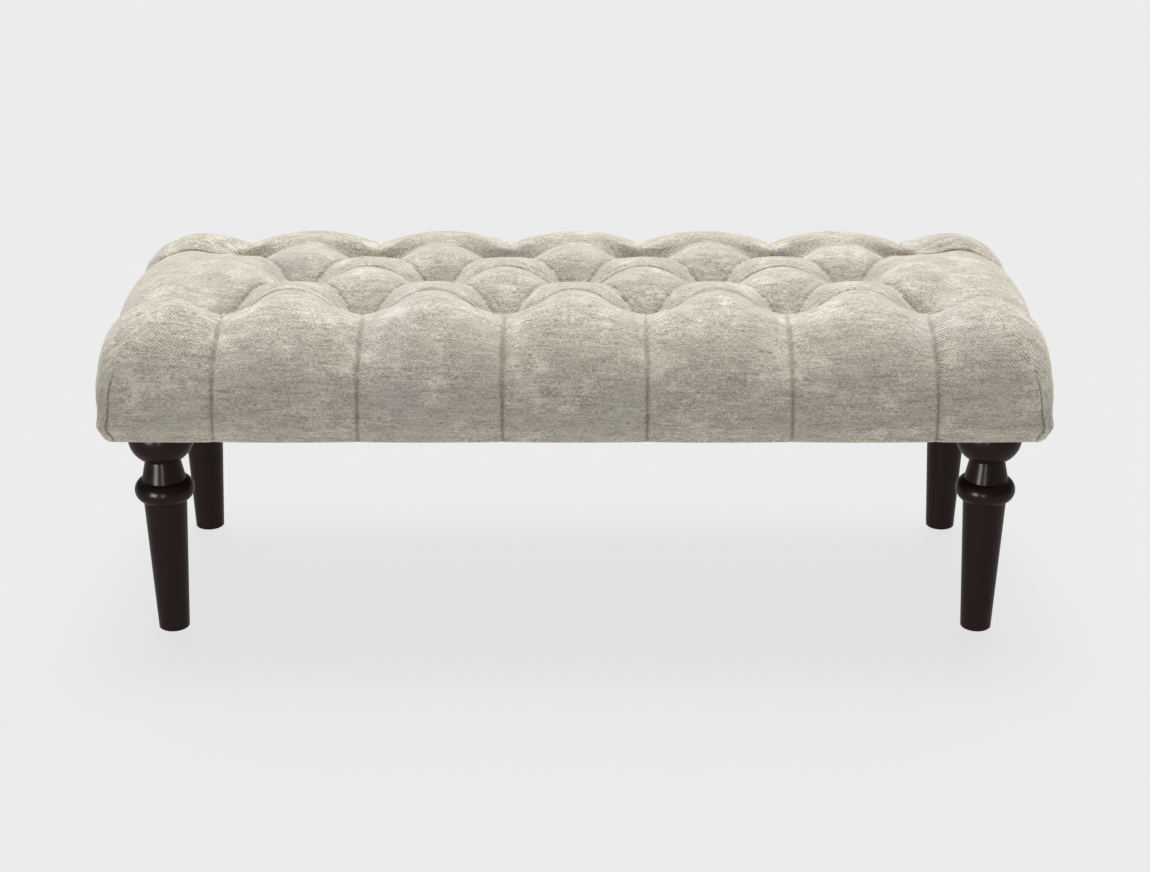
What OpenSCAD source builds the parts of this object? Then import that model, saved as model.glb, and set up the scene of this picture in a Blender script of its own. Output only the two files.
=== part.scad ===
// Button tufted footstool: a padded bench seat on four turned legs.
// Millimetres. X runs along the seat, Y from front to back, Z up from the floor under its middle.

/* [Tufting] */
// Distance between two buttons of a row
button_pitch = 178; // [168:1:188]
// Distance from one row of buttons to the next
row_pitch = 110; // [102:1:118]
// Buttons in the front and back rows; the middle row has one fewer
long_row = 6; // [4:1:7]
// How far a button pulls the cover below the bottom of the pleats
tuft_depth = 24; // [16:1:26]
// Rise of the cover from a button to the crests between buttons
loft = 61; // [50:1:66]
// Reach of the hollow round a button
hollow_reach = 36; // [28:1:42]
// Extra swell in the middle of each panel between the pleats
panel_swell = 6; // [2:1:9]
// Height of the panels over their pleats where the top turns into the sides
side_crest = 25; // [15:1:30]

/* [Seat] */
// From the outermost buttons to the end of the frame
end_margin = 125; // [118:1:140]
// From the front row of buttons to the front of the frame
side_margin = 98; // [92:1:110]
// Radius of the padded shoulder, measured in the pleats
shoulder_r = 88; // [78:1:94]
// How far the cover is drawn in at its bottom edge
hem_tuck = 4; // [1:0.5:6]
// Thickness of the foam block
foam_t = 53; // [46:1:65]
// Thickness of the fibre batting in the pleats
batting_t = 9; // [7:0.5:12]
// Thickness of the batting pinched under a button
pinched_t = 2; // [1:0.5:3]
// Thickness of the cover fabric with its backing
cover_t = 2; // [1.5:0.1:2.5]
// Width of the cover's turned-under edge
flange_w = 30; // [25:1:36]
// Diameter of the wells cut through the foam under the buttons
foam_well_d = 44; // [36:1:50]

/* [Buttons] */
// Radius of a button
button_r = 9; // [7.5:0.5:10]
// Thickness of a button at its rim
button_rim_t = 1.6; // [1:0.1:2]
// Height of a button's dome over its rim
button_dome_h = 2.4; // [1.5:0.1:3]
// Radius of the wire eye behind a button
eye_r = 2.2; // [2:0.1:2.6]
// Radius of that eye's wire
eye_wire_r = 0.7; // [0.5:0.1:0.8]
// Radius of a strand of tufting twine
twine_r = 0.8; // [0.6:0.1:1]
// Radius of the knot under a washer
knot_r = 4.5; // [4:0.1:5.5]
// Diameter of the washers that hold the twine under the deck
washer_d = 20; // [16:1:24]
// Thickness of those washers
washer_t = 3; // [2:0.5:4]

/* [Frame] */
// Height of the rails
rail_h = 50; // [46:1:60]
// Thickness of the rails
rail_t = 22; // [18:1:25]
// Thickness of the plywood deck
deck_t = 12; // [9:1:15]
// How far the deck stays inside the outer faces of the rails
deck_inset = 3; // [1:0.5:5]
// Length of a corner block
block_l = 80; // [72:1:88]
// Width of a corner block
block_w = 70; // [64:1:76]
// Height of a corner block
block_h = 42; // [38:1:43]

/* [Legs] */
// Height from the floor to the underside of the seat
leg_h = 282; // [260:1:320]
// From the front of the frame to the middle of a leg, and from its end too
leg_inset = 49; // [46:1:54]
// Radius of the foot at the floor
foot_r = 19.6; // [18:0.1:22]
// Chamfer round the foot
foot_chamfer = 0.8; // [0.4:0.1:1.5]
// Radius of the tapered shaft under the bead
shaft_r = 27.9; // [25:0.1:30]
// Height from the underside of the seat down to the middle of the bead
bead_drop = 87; // [80:1:92]
// Radius of the bead, out to its rim
bead_out_r = 37.6; // [35:0.1:40]
// Radius of the bead's round edge
bead_edge_r = 15.5; // [13:0.5:16]
// Radius of the neck where it rises from the bead
neck_low_r = 27.4; // [25:0.1:29]
// Radius of the neck under the bulb
neck_high_r = 21.6; // [19:0.1:24]
// Radius of the bulb at the top of a leg
bulb_out_r = 41.5; // [39:0.5:44]
// Radius of the bulb's round side
bulb_edge_r = 33; // [30:0.5:34]
// Height from the underside of the seat down to the bulb's widest line
bulb_drop = 16; // [13:1:18]

/* [Hardware] */
// Diameter of the hanger bolts
bolt_d = 8; // [6:1:9]
// Length of a hanger bolt inside the leg
bolt_grip = 40; // [30:1:50]
// How far a hanger bolt stands out of its tee nut
bolt_tip = 2; // [1:0.5:3]
// Diameter of the tee nut's barrel
tee_barrel_d = 11; // [10.5:0.5:13]
// Length of that barrel
tee_barrel_l = 12; // [9:1:14]
// Diameter of the tee nut's flange
tee_flange_d = 22; // [18:1:26]
// Thickness of that flange
tee_flange_t = 1.6; // [1.2:0.1:2]
// Diameter of the frame screws
frame_screw_d = 4.5; // [4:0.5:5]
// Length of the frame screws
frame_screw_l = 60; // [45:1:65]
// Diameter of the deck screws
deck_screw_d = 4; // [3.5:0.5:4.5]
// Length of the deck screws
deck_screw_l = 35; // [30:1:40]
// Diameter of the glides under the feet
glide_d = 28; // [24:1:32]
// Thickness of the glides
glide_t = 2; // [1.5:0.1:3]
// How far the glides stand out of the feet
glide_proud = 0.5; // [0.3:0.1:1]
// Diameter of a glide's nail
glide_nail_d = 3; // [2.5:0.5:4]
// Length of a glide's nail
glide_nail_l = 16; // [12:1:20]
// Distance between two staples along an edge
staple_pitch = 45; // [40:1:60]
// Width of a staple
staple_w = 10; // [8:1:12]
// Thickness of the staple wire
staple_wire = 0.6; // [0.5:0.1:0.7]
// Length of a staple's legs over the fabric
staple_leg = 8; // [6:1:10]
// Thickness of the dust cover
dust_cover_t = 0.8; // [0.6:0.1:1]
// From the seat's bottom edge in to the edge of the dust cover
dust_cover_inset = 14; // [10:1:16]

/* [Fits] */
// Clearance between layers of the padding
soft_gap = 0.3; // [0.2:0.05:0.4]
// Clearance round a screw, bolt or nut in its hole
bore_fit = 0.15; // [0.1:0.05:0.2]
// Overrun of every cut past the face it opens
overrun = 1; // [0.5:0.5:2]

/* [Hidden] */
$fn = 48;

// Heights, from the floor up
hem_z = leg_h + dust_cover_t + soft_gap;
frame_z = hem_z + cover_t + soft_gap;
deck_z = frame_z + rail_h;
foam_z = deck_z + deck_t;
foam_top = foam_z + foam_t;
padding_t = batting_t + cover_t + 2 * soft_gap;
pleat_z = foam_top + padding_t;

// Half sizes in plan: of the field of buttons, the frame and the pleated cover
field_x = button_pitch * (long_row - 1) / 2;
field_y = row_pitch;
frame_x = field_x + end_margin;
frame_y = field_y + side_margin;
face_x = frame_x + padding_t;
face_y = frame_y + padding_t;

// The line that the shoulder's arc turns about
shoulder_x = face_x - shoulder_r;
shoulder_y = face_y - shoulder_r;
shoulder_z = pleat_z - shoulder_r;

// Under a button: the bottom of the cover's hollow and the underside of the pinched batting
tuft_z = pleat_z - tuft_depth;
pinch_z = tuft_z - cover_t - soft_gap - pinched_t;

// Places of the buttons, row by row
function row_places(count, y) = [
    for (i = [0 : count - 1]) [(i - (count - 1) / 2) * button_pitch, y]
];
front_places = row_places(long_row, -field_y);
middle_places = row_places(long_row - 1, 0);
back_places = row_places(long_row, field_y);
places = concat(front_places, middle_places, back_places);

// The tufted surface: a triangular net over the field of buttons, with rings of points round it
net_n = 4; // net lines from one row of buttons to the next
net_m = net_n * (long_row - 1);
net_rows = 2 * net_n;
shoulder_angles = [0, 30, 60, 90];
hem_ring = len(shoulder_angles);
flange_ring = hem_ring + 1;
crest_shares = [1, 0.84, 0.56, 0.3, 0.05, 0]; // of side_crest, ring by ring
fullness_shares = [1, 0.8, 0.6, 0.5, 0.5, 0.5]; // powers that flatten the panels down the side
corner_shares = [0.2, 0.6, 0.5, 0.34, 0.2, 0.2]; // of shoulder_r, the corner radius in plan
corner_room_share = 0.8;
corner_rise_share = 0.6; // of the side's width, the run in which a corner panel rises from its pleat
panel_power_share = 0.6;
arc_cut = 1 - cos(45);
core_steps = 4; // flats round the inner shoulder of the batting
core_r = shoulder_r - padding_t + soft_gap;

function hollow(p, i = 0) = i == len(places) ? 1 :
    (1 - exp(-norm(p - places[i]) / hollow_reach)) * hollow(p, i + 1);

// Share of the panel swell: 0 on the pleats, 1 in the middle of a panel
function swell(p) =
    let (
        g = abs(p.y) / row_pitch,
        e = (field_x - abs(p.x)) / button_pitch,
        a = e - round(e),
        b = e - floor(e) - 1 / 2,
        share = e < (1 - g) / 2 ? 1 - g - 2 * e :
            abs(a) < (1 - g) / 2 ? 27 * g * ((1 - g) / 2 + a) * ((1 - g) / 2 - a) :
            27 * (1 - g) * (g / 2 + b) * (g / 2 - b)
    ) pow(max(0, share), panel_power_share);

function top_rise(p) = loft * hollow(p) - tuft_depth + panel_swell * swell(p);

// Points of the net, row by row; every second row is shifted by half a step
function net_point(k, i) =
    let (step = button_pitch / net_n, odd = k % 2)
    [
        max(-field_x, min(field_x, (i - odd / 2) * step - field_x)),
        (k / net_n - 1) * row_pitch
    ];
net_points = [for (k = [0 : net_rows]) for (i = [0 : net_m + k % 2]) net_point(k, i)];
function net_index(k, i) = floor(k / 2) * (2 * net_m + 3) + (k % 2) * (net_m + 1) + i;
function net_last(k) = net_index(k, net_m + k % 2);

// A spoke runs out from a point on the net's edge: its index, side signs, place along the side,
// share of the way round the corner (0 on a long side, 1 on an end) and share across its panel
function corner_spokes(anchor, sx, sy, shares) = [for (f = shares) [anchor, sx, sy, 0, f, f]];
function long_spoke(k, i, sy) =
    [net_index(k, i), 1, sy, net_point(k, i).x, 0, (i % net_n) / net_n];
function end_spoke(k, anchor, sx) =
    [anchor, sx, 1, (k / net_n - 1) * row_pitch, 1, k / net_rows];
corner_steps = [1 / 4, 1 / 2, 3 / 4];
corner_steps_back = [3 / 4, 1 / 2, 1 / 4];
spokes = concat(
    [for (i = [0 : net_m]) long_spoke(0, i, -1)],
    corner_spokes(net_last(0), 1, -1, corner_steps),
    [for (k = [0 : net_rows]) end_spoke(k, net_last(k), 1)],
    corner_spokes(net_last(net_rows), 1, 1, corner_steps_back),
    [for (i = [net_m : -1 : 0]) long_spoke(net_rows, i, 1)],
    corner_spokes(net_index(net_rows, 0), -1, 1, corner_steps),
    [for (k = [net_rows : -1 : 0]) end_spoke(k, net_index(k, 0), -1)],
    corner_spokes(net_index(0, 0), -1, -1, corner_steps_back)
);

// Where a spoke meets the outline that lies out beyond the shoulder line
function spoke_plan(spoke, out, corner_share) =
    let (
        x = shoulder_x + out,
        y = shoulder_y + out,
        corner_r = min(
            shoulder_r * corner_share,
            corner_room_share * min(x - field_x, y - field_y)
        ),
        f = spoke[4],
        plan = f == 0 ? [spoke[3], y] :
            f == 1 ? [x, spoke[3]] :
            f == 1 / 2 ? [x - corner_r * arc_cut, y - corner_r * arc_cut] :
            f < 1 / 2 ? [(field_x + x - corner_r) / 2, y] :
            [x, (field_y + y - corner_r) / 2]
    ) [plan.x * spoke[1], plan.y * spoke[2]];

// How full a panel is at a spoke: 0 in its pleats, 1 on its crest
function fullness(spoke, ring, angle) =
    let (
        plan = spoke_plan(spoke, shoulder_r * sin(angle), corner_shares[ring]),
        away_x = abs(plan.x) - field_x,
        away_y = abs(plan.y) - field_y,
        away = spoke[4] < 1 / 2 ? away_x : spoke[4] > 1 / 2 ? away_y : norm([away_x, away_y]),
        run = corner_rise_share * (face_y - field_y),
        share = spoke[4] == 0 || spoke[4] == 1 ? sin(180 * spoke[5]) : sin(90 * min(1, away / run))
    ) pow(share, fullness_shares[ring]);

// One point of a ring, at a depth under the outer face of the cover
function ring_point(spoke, ring, depth) =
    let (
        angle = shoulder_angles[min(ring, hem_ring - 1)],
        crest = side_crest * crest_shares[ring] * fullness(spoke, ring, angle),
        r = shoulder_r + crest - depth,
        out = ring < hem_ring ? r * sin(angle) :
            ring == hem_ring ? r - hem_tuck : shoulder_r - hem_tuck - flange_w,
        z = ring < hem_ring ? shoulder_z + r * cos(angle) : hem_z + depth,
        plan = spoke_plan(spoke, out, corner_shares[ring])
    ) [plan.x, plan.y, z];

function surface_points(depth, last_ring) = concat(
    [for (p = net_points) [p.x, p.y, pleat_z + top_rise(p) - depth]],
    [for (ring = [0 : last_ring]) for (spoke = spokes) ring_point(spoke, ring, depth)]
);

// The padding's core: the space for the foam and the rails, with flats that clear the foam's
// round shoulders and a dip under each button
function core_ring_point(spoke, ring) =
    let (
        angle = 90 * (min(ring, core_steps - 1) + 1 / 2) / core_steps,
        r = core_r / cos(45 / core_steps),
        plan = spoke_plan(spoke, r * sin(angle), 0)
    ) [plan.x, plan.y, ring < core_steps ? shoulder_z + r * cos(angle) : frame_z];
core_points = concat(
    [for (p = net_points) [p.x, p.y, hollow(p) == 0 ? pinch_z : shoulder_z + core_r]],
    [for (ring = [0 : core_steps]) for (spoke = spokes) core_ring_point(spoke, ring)]
);

function ring_index(ring, s) = len(net_points) + ring * len(spokes) + s % len(spokes);
function edge_index(ring, s) = ring < 0 ? spokes[s % len(spokes)][0] : ring_index(ring, s);

// Faces of the surface, anticlockwise from outside: first those between two lines of the net
function strip_faces(k) = k % 2 == 0 ? concat(
    [for (i = [0 : net_m]) [net_index(k, i), net_index(k + 1, i + 1), net_index(k + 1, i)]],
    [for (i = [0 : net_m - 1]) [net_index(k, i), net_index(k, i + 1), net_index(k + 1, i + 1)]]
) : concat(
    [for (i = [0 : net_m]) [net_index(k, i), net_index(k, i + 1), net_index(k + 1, i)]],
    [for (i = [0 : net_m - 1]) [net_index(k + 1, i), net_index(k, i + 1), net_index(k + 1, i + 1)]]
);
function net_faces() = [for (k = [0 : net_rows - 1]) for (face = strip_faces(k)) face];

// Then those between rings, each pair split away from the nearer pleat
function pleat_distance(s) = let (share = spokes[s % len(spokes)][5]) min(share, 1 - share);
function ring_faces(last_ring) = [
    for (ring = [0 : last_ring])
        for (s = [0 : len(spokes) - 1])
            let (
                a = ring_index(ring, s),
                b = ring_index(ring, s + 1),
                c = edge_index(ring - 1, s + 1),
                d = edge_index(ring - 1, s)
            )
                for (face = pleat_distance(s) < pleat_distance(s + 1) ?
                    [[a, b, d], [b, c, d]] : [[a, b, c], [a, c, d]])
                    if (face[0] != face[1] && face[1] != face[2]) face
];
// Faces that join the last ring of an outer surface to that of an inner one, n points further on
function rim_faces(outer_ring, inner_ring, n) = [
    for (s = [0 : len(spokes) - 1])
        let (
            a = ring_index(outer_ring, s),
            b = ring_index(outer_ring, s + 1),
            c = n + ring_index(inner_ring, s),
            d = n + ring_index(inner_ring, s + 1)
        )
            for (face = [[c, a, b], [d, c, b]]) face
];
function turned(faces) = [for (f = faces) [f[2], f[1], f[0]]];
function shifted(faces, n) = [for (f = faces) [f[0] + n, f[1] + n, f[2] + n]];

// Height of the buttons: each rests with its rim against the walls of its hollow
diagonal_step = [button_pitch / (2 * net_n), row_pitch / net_n];
middle_button = middle_places[0];
wall_slope = max(
    tuft_depth / (shoulder_y - field_y),
    (top_rise(middle_button + diagonal_step) + tuft_depth) / norm(diagonal_step)
);
button_z = tuft_z + button_r * wall_slope + soft_gap;
eye_z = button_z - eye_r;
bend_swell_share = 1.15; // of twine_r, the twine's radius where it is squeezed over an eye
bend_lap_share = 0.3; // of twine_r, how far the straight strands run into that bend
bend_twine_r = twine_r * bend_swell_share;
bend_r = eye_wire_r + bend_twine_r + soft_gap;
bend_z = eye_z - eye_r;
twine_hole_r = bend_r + bend_twine_r + soft_gap;
washer_z = deck_z - washer_t;
knot_z = washer_z - sqrt(pow(knot_r, 2) - pow(twine_hole_r, 2)) - soft_gap;

// Places of the legs and of the hardware
leg_x = frame_x - leg_inset;
leg_y = frame_y - leg_inset;
block_x = frame_x - rail_t - block_l / 2;
block_y = frame_y - rail_t - block_w / 2;
cross_share = 0.75; // of button_pitch, the place of a cross rail
cross_x = button_pitch * cross_share;
rail_inner_y = frame_y - rail_t;
bolt_top = frame_z + block_h + tee_flange_t + bolt_tip;
screw_height_shares = [0.27, 0.73]; // of the height of a rail or block
block_screw_shares = [-0.25, -0.28]; // of a block's length and width, away from the leg
deck_screw_shares = [0.1, 0.5, 0.9]; // of the half length of the frame
deck_end_share = 0.3; // of the half width of the frame
screw_head_share = 2; // head diameter over shank diameter
screw_head_h_share = 0.6; // head height over shank diameter
screw_tip_share = 1.5; // tip length over shank diameter
screw_point_share = 0.05; // radius of a screw's point over shank diameter
staple_line_share = 0.5; // of rail_t, where the cover's staples run
dust_staple_line_share = 0.8; // of rail_t, where the dust cover's staples run
bolt_tip_share = 0.5; // of bolt_d, the taper at a bolt's lower end

wood_color = [0.13, 0.1, 0.095];
pine_color = [0.8, 0.68, 0.5];
ply_color = [0.76, 0.62, 0.44];
steel_color = [0.72, 0.72, 0.74];
fabric_color = [0.7, 0.68, 0.63];

module at_corners() {
    for (sx = [-1, 1]) for (sy = [-1, 1]) translate([sx * leg_x, sy * leg_y, 0]) children();
}

// Turned leg, bored for its bolt above and for its glide below
module leg() {
    bead_z = leg_h - bead_drop;
    bulb_z = leg_h - bulb_drop;
    foot_z = glide_proud;
    neck_base_r = neck_low_r + bead_edge_r * neck_rake();
    color(wood_color) difference() {
        union() {
            rotate_extrude() polygon([
                [0, foot_z], [foot_r - foot_chamfer, foot_z], [foot_r, foot_z + foot_chamfer],
                [shaft_r, bead_z], [0, bead_z]
            ]);
            translate([0, 0, bead_z]) round_band(bead_out_r, bead_edge_r);
            translate([0, 0, bead_z])
                cylinder(h = bulb_z - bead_z, r1 = neck_base_r, r2 = neck_top_r());
            intersection() {
                translate([0, 0, bulb_z]) round_band(bulb_out_r, bulb_edge_r);
                cylinder(h = leg_h, r = bulb_out_r + overrun);
            }
        }
        translate([0, 0, leg_h - bolt_grip - overrun])
            cylinder(h = bolt_grip + 2 * overrun, d = bolt_d + 2 * bore_fit);
        cylinder(h = glide_t, d = glide_d + 2 * bore_fit);
        cylinder(h = glide_t + glide_nail_l + overrun, d = glide_nail_d + 2 * bore_fit);
    }
}

// The neck tapers in a straight line from the bead up into the bulb
function neck_rake() = (neck_low_r - neck_high_r) /
    (bead_drop - bulb_drop - bead_edge_r - bulb_edge_r * sqrt(3) / 2);
function neck_top_r() = neck_low_r - (bead_drop - bulb_drop - bead_edge_r) * neck_rake();

// Solid disc with a round edge, about its own middle
module round_band(out_r, edge_r) {
    rotate_extrude() {
        intersection() {
            translate([out_r - edge_r, 0]) circle(r = edge_r);
            translate([0, -edge_r]) square([out_r, 2 * edge_r]);
        }
        translate([0, -edge_r]) square([out_r - edge_r, 2 * edge_r]);
    }
}

module leg_front_left() { translate([-leg_x, -leg_y, 0]) leg(); }
module leg_front_right() { translate([leg_x, -leg_y, 0]) leg(); }
module leg_back_left() { translate([-leg_x, leg_y, 0]) leg(); }
module leg_back_right() { translate([leg_x, leg_y, 0]) leg(); }

// Nylon glides, each nailed up into its foot
module foot_glides() {
    color("dimgray") at_corners() {
        cylinder(h = glide_t, d = glide_d);
        cylinder(h = glide_t + glide_nail_l, d = glide_nail_d);
    }
}

// Hanger bolts: the lower half bites in the leg, the upper one passes up to the tee nut
module hanger_bolts() {
    bolt_r = bolt_d / 2;
    low = leg_h - bolt_grip;
    taper = bolt_d * bolt_tip_share;
    color(steel_color) at_corners() rotate_extrude() polygon([
        [0, low], [taper / 2, low], [bolt_r, low + taper], [bolt_r, bolt_top], [0, bolt_top]
    ]);
}

module tee_nut_body(grow) {
    translate([0, 0, -tee_barrel_l - grow])
        cylinder(h = tee_barrel_l + grow + tee_flange_t, d = tee_barrel_d + 2 * grow);
    cylinder(h = tee_flange_t, d = tee_flange_d);
}

module tee_nuts() {
    color(steel_color) at_corners() translate([0, 0, frame_z + block_h]) difference() {
        tee_nut_body(0);
        translate([0, 0, -tee_barrel_l - overrun])
            cylinder(h = tee_barrel_l + tee_flange_t + 2 * overrun, d = bolt_d + 2 * bore_fit);
    }
}

// Countersunk screw that points along -Z, its head flush with the level z = 0; grown by its
// clearance it is the bore for one, which runs out past that level
module screw(d, length, grow = 0) {
    head_h = d * screw_head_h_share;
    tip_z = d * screw_tip_share - length;
    shank_r = d / 2 + grow;
    head_r = d * screw_head_share / 2 + grow;
    tip_r = d * screw_point_share + grow;
    top = grow > 0 ? overrun : 0;
    rotate_extrude() polygon([
        [0, top], [head_r, top], [head_r, -grow], [shank_r, -head_h],
        [shank_r, tip_z], [tip_r, -length - grow], [0, -length - grow]
    ]);
}

// Screws through the long rails into the ends of the end and cross rails
module rail_screw_set(grow = 0) {
    for (sy = [-1, 1])
        for (x = [-frame_x + rail_t / 2, -cross_x, cross_x, frame_x - rail_t / 2])
            for (share = screw_height_shares)
                translate([x, sy * frame_y, frame_z + rail_h * share])
                    rotate([sy > 0 ? -90 : 90, 0, 0]) screw(frame_screw_d, frame_screw_l, grow);
}

// Screws through the rails into the corner blocks
module block_screw_set(grow = 0) {
    for (sx = [-1, 1]) for (sy = [-1, 1]) for (share = screw_height_shares) {
        z = frame_z + block_h * share;
        translate([sx * (block_x + block_l * block_screw_shares[0]), sy * frame_y, z])
            rotate([sy > 0 ? -90 : 90, 0, 0]) screw(frame_screw_d, frame_screw_l, grow);
        translate([sx * frame_x, sy * (block_y + block_w * block_screw_shares[1]), z])
            rotate([0, sx > 0 ? 90 : -90, 0]) screw(frame_screw_d, frame_screw_l, grow);
    }
}

// Screws down through the deck into the rails
module deck_screw_set(grow = 0) {
    for (sx = [-1, 1]) for (sy = [-1, 1]) {
        for (share = deck_screw_shares)
            translate([sx * frame_x * share, sy * (frame_y - rail_t / 2), foam_z])
                screw(deck_screw_d, deck_screw_l, grow);
        translate([sx * (frame_x - rail_t / 2), sy * frame_y * deck_end_share, foam_z])
            screw(deck_screw_d, deck_screw_l, grow);
    }
}

module rail_screws() { color(steel_color) rail_screw_set(); }
module block_screws() { color(steel_color) block_screw_set(); }
module deck_screws() { color(steel_color) deck_screw_set(); }

module screw_bores() {
    rail_screw_set(bore_fit);
    block_screw_set(bore_fit);
    deck_screw_set(bore_fit);
}

// Long rail, the full length of the seat
module long_rail(sy) {
    color(pine_color) difference() {
        translate([-frame_x, sy > 0 ? rail_inner_y : -frame_y, frame_z])
            cube([2 * frame_x, rail_t, rail_h]);
        screw_bores();
    }
}

// Short rail that fits between the long ones, with its middle at x
module short_rail(x) {
    color(pine_color) difference() {
        translate([x - rail_t / 2, -rail_inner_y, frame_z]) cube([rail_t, 2 * rail_inner_y, rail_h]);
        screw_bores();
    }
}

module front_rail() { long_rail(-1); }
module back_rail() { long_rail(1); }
module left_end_rail() { short_rail(-frame_x + rail_t / 2); }
module right_end_rail() { short_rail(frame_x - rail_t / 2); }
module left_cross_rail() { short_rail(-cross_x); }
module right_cross_rail() { short_rail(cross_x); }

// Block that fills a corner of the frame and takes the leg's bolt
module corner_block(sx, sy) {
    color(pine_color) difference() {
        translate([sx * block_x - block_l / 2, sy * block_y - block_w / 2, frame_z])
            cube([block_l, block_w, block_h]);
        block_screw_set(bore_fit);
        translate([sx * leg_x, sy * leg_y, frame_z + block_h]) tee_nut_body(bore_fit);
        translate([sx * leg_x, sy * leg_y, frame_z - overrun])
            cylinder(h = block_h + 2 * overrun, d = bolt_d + 2 * bore_fit);
    }
}

module corner_block_front_left() { corner_block(-1, -1); }
module corner_block_front_right() { corner_block(1, -1); }
module corner_block_back_left() { corner_block(-1, 1); }
module corner_block_back_right() { corner_block(1, 1); }

// Plywood deck, drilled for the twine
module deck_panel() {
    half_x = frame_x - deck_inset;
    half_y = frame_y - deck_inset;
    color(ply_color) difference() {
        translate([-half_x, -half_y, deck_z]) cube([2 * half_x, 2 * half_y, deck_t]);
        deck_screw_set(bore_fit);
        for (p = places) translate([p.x, p.y, deck_z - overrun])
            cylinder(h = deck_t + 2 * overrun, r = twine_hole_r);
    }
}

// Outline of the foam across one of its two directions, with round shoulders
module foam_outline(centre) {
    r = shoulder_r - padding_t;
    intersection() {
        union() {
            translate([-centre, shoulder_z]) square([2 * centre, r]);
            for (side = [-1, 1]) translate([side * centre, shoulder_z]) circle(r = r);
        }
        translate([-centre - r, foam_z]) square([2 * (centre + r), r]);
    }
}

// Foam block: each well opens into a funnel, where the batting is drawn down with the cover
module seat_foam() {
    mouth_r = button_pitch / net_n;
    mouth_slope = (foam_top - pinch_z + soft_gap) / mouth_r;
    mouth_z = foam_top - (mouth_r - foam_well_d / 2) * mouth_slope;
    length = 2 * (face_x + overrun);
    width = 2 * (face_y + overrun);
    color("khaki") difference() {
        intersection() {
            rotate([90, 0, 90]) linear_extrude(height = length, center = true) foam_outline(shoulder_y);
            rotate([90, 0, 0]) linear_extrude(height = width, center = true) foam_outline(shoulder_x);
        }
        for (p = places) translate([p.x, p.y, foam_z - overrun]) {
            cylinder(h = foam_t + 2 * overrun, d = foam_well_d);
            translate([0, 0, mouth_z - foam_z + overrun])
                cylinder(
                    h = foam_top - mouth_z + overrun,
                    r1 = foam_well_d / 2,
                    r2 = mouth_r + overrun / mouth_slope
                );
        }
    }
}

// Fibre batting over the foam and down the rails, with a hole for each button's twine
module seat_batting() {
    outer = surface_points(cover_t + soft_gap, hem_ring);
    skin = concat(net_faces(), ring_faces(hem_ring));
    core_skin = concat(net_faces(), ring_faces(core_steps));
    rim = rim_faces(hem_ring, core_steps, len(outer));
    color("ghostwhite") difference() {
        polyhedron(
            concat(outer, core_points),
            concat(turned(skin), shifted(core_skin, len(outer)), rim)
        );
        twine_holes();
    }
}

// Woven cover: one sheet over the padding, turned under the rails, with an eyelet at each button
module seat_cover() {
    outer = surface_points(0, flange_ring);
    inner = surface_points(cover_t, flange_ring);
    skin = concat(net_faces(), ring_faces(flange_ring));
    rim = rim_faces(flange_ring, flange_ring, len(outer));
    color(fabric_color) difference() {
        polyhedron(
            concat(outer, inner),
            concat(turned(skin), shifted(skin, len(outer)), rim)
        );
        twine_holes();
    }
}

// Holes for the twine through the soft layers
module twine_holes() {
    for (p = places) translate([p.x, p.y, tuft_z - loft]) cylinder(h = 2 * loft, r = twine_hole_r);
}

// Covered button: a dome with a flat back and a wire eye under it
module button() {
    dome_r = (pow(button_r, 2) + pow(button_dome_h, 2)) / (2 * button_dome_h);
    color(fabric_color) {
        cylinder(h = button_rim_t, r = button_r);
        intersection() {
            translate([0, 0, button_rim_t + button_dome_h - dome_r]) sphere(r = dome_r, $fn = 96);
            cylinder(h = button_rim_t + button_dome_h + overrun, r = button_r);
        }
        translate([0, 0, -eye_r]) rotate([90, 0, 0])
            rotate_extrude() translate([eye_r, 0]) circle(r = eye_wire_r, $fn = 24);
    }
}

module button_row(row) { for (p = row) translate([p.x, p.y, button_z]) button(); }
module front_row_buttons() { button_row(front_places); }
module middle_row_buttons() { button_row(middle_places); }
module back_row_buttons() { button_row(back_places); }

// Twine: hooked through the button's eye, both strands down through the deck into one knot
module twine() {
    translate([0, 0, bend_z]) rotate([90, 0, 90])
        rotate_extrude(angle = 180) translate([bend_r, 0]) circle(r = bend_twine_r, $fn = 24);
    for (side = [-1, 1]) translate([0, side * bend_r, knot_z])
        cylinder(h = bend_z - knot_z + twine_r * bend_lap_share, r = twine_r, $fn = 24);
    translate([0, 0, knot_z]) sphere(r = knot_r);
}

module twine_row(row) { color("linen") for (p = row) translate([p.x, p.y, 0]) twine(); }
module front_row_twines() { twine_row(front_places); }
module middle_row_twines() { twine_row(middle_places); }
module back_row_twines() { twine_row(back_places); }

module twine_washers() {
    color("ivory") for (p = places) translate([p.x, p.y, washer_z]) difference() {
        cylinder(h = washer_t, d = washer_d);
        translate([0, 0, -overrun]) cylinder(h = washer_t + 2 * overrun, r = twine_hole_r);
    }
}

// Staple with its crown along X and its legs up, its crown's lower face at z = 0
module staple(leg) {
    translate([-staple_w / 2, -staple_wire / 2, 0]) cube([staple_w, staple_wire, staple_wire]);
    for (x = [-staple_w / 2, staple_w / 2 - staple_wire])
        translate([x, -staple_wire / 2, 0]) cube([staple_wire, staple_wire, leg]);
}

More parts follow.
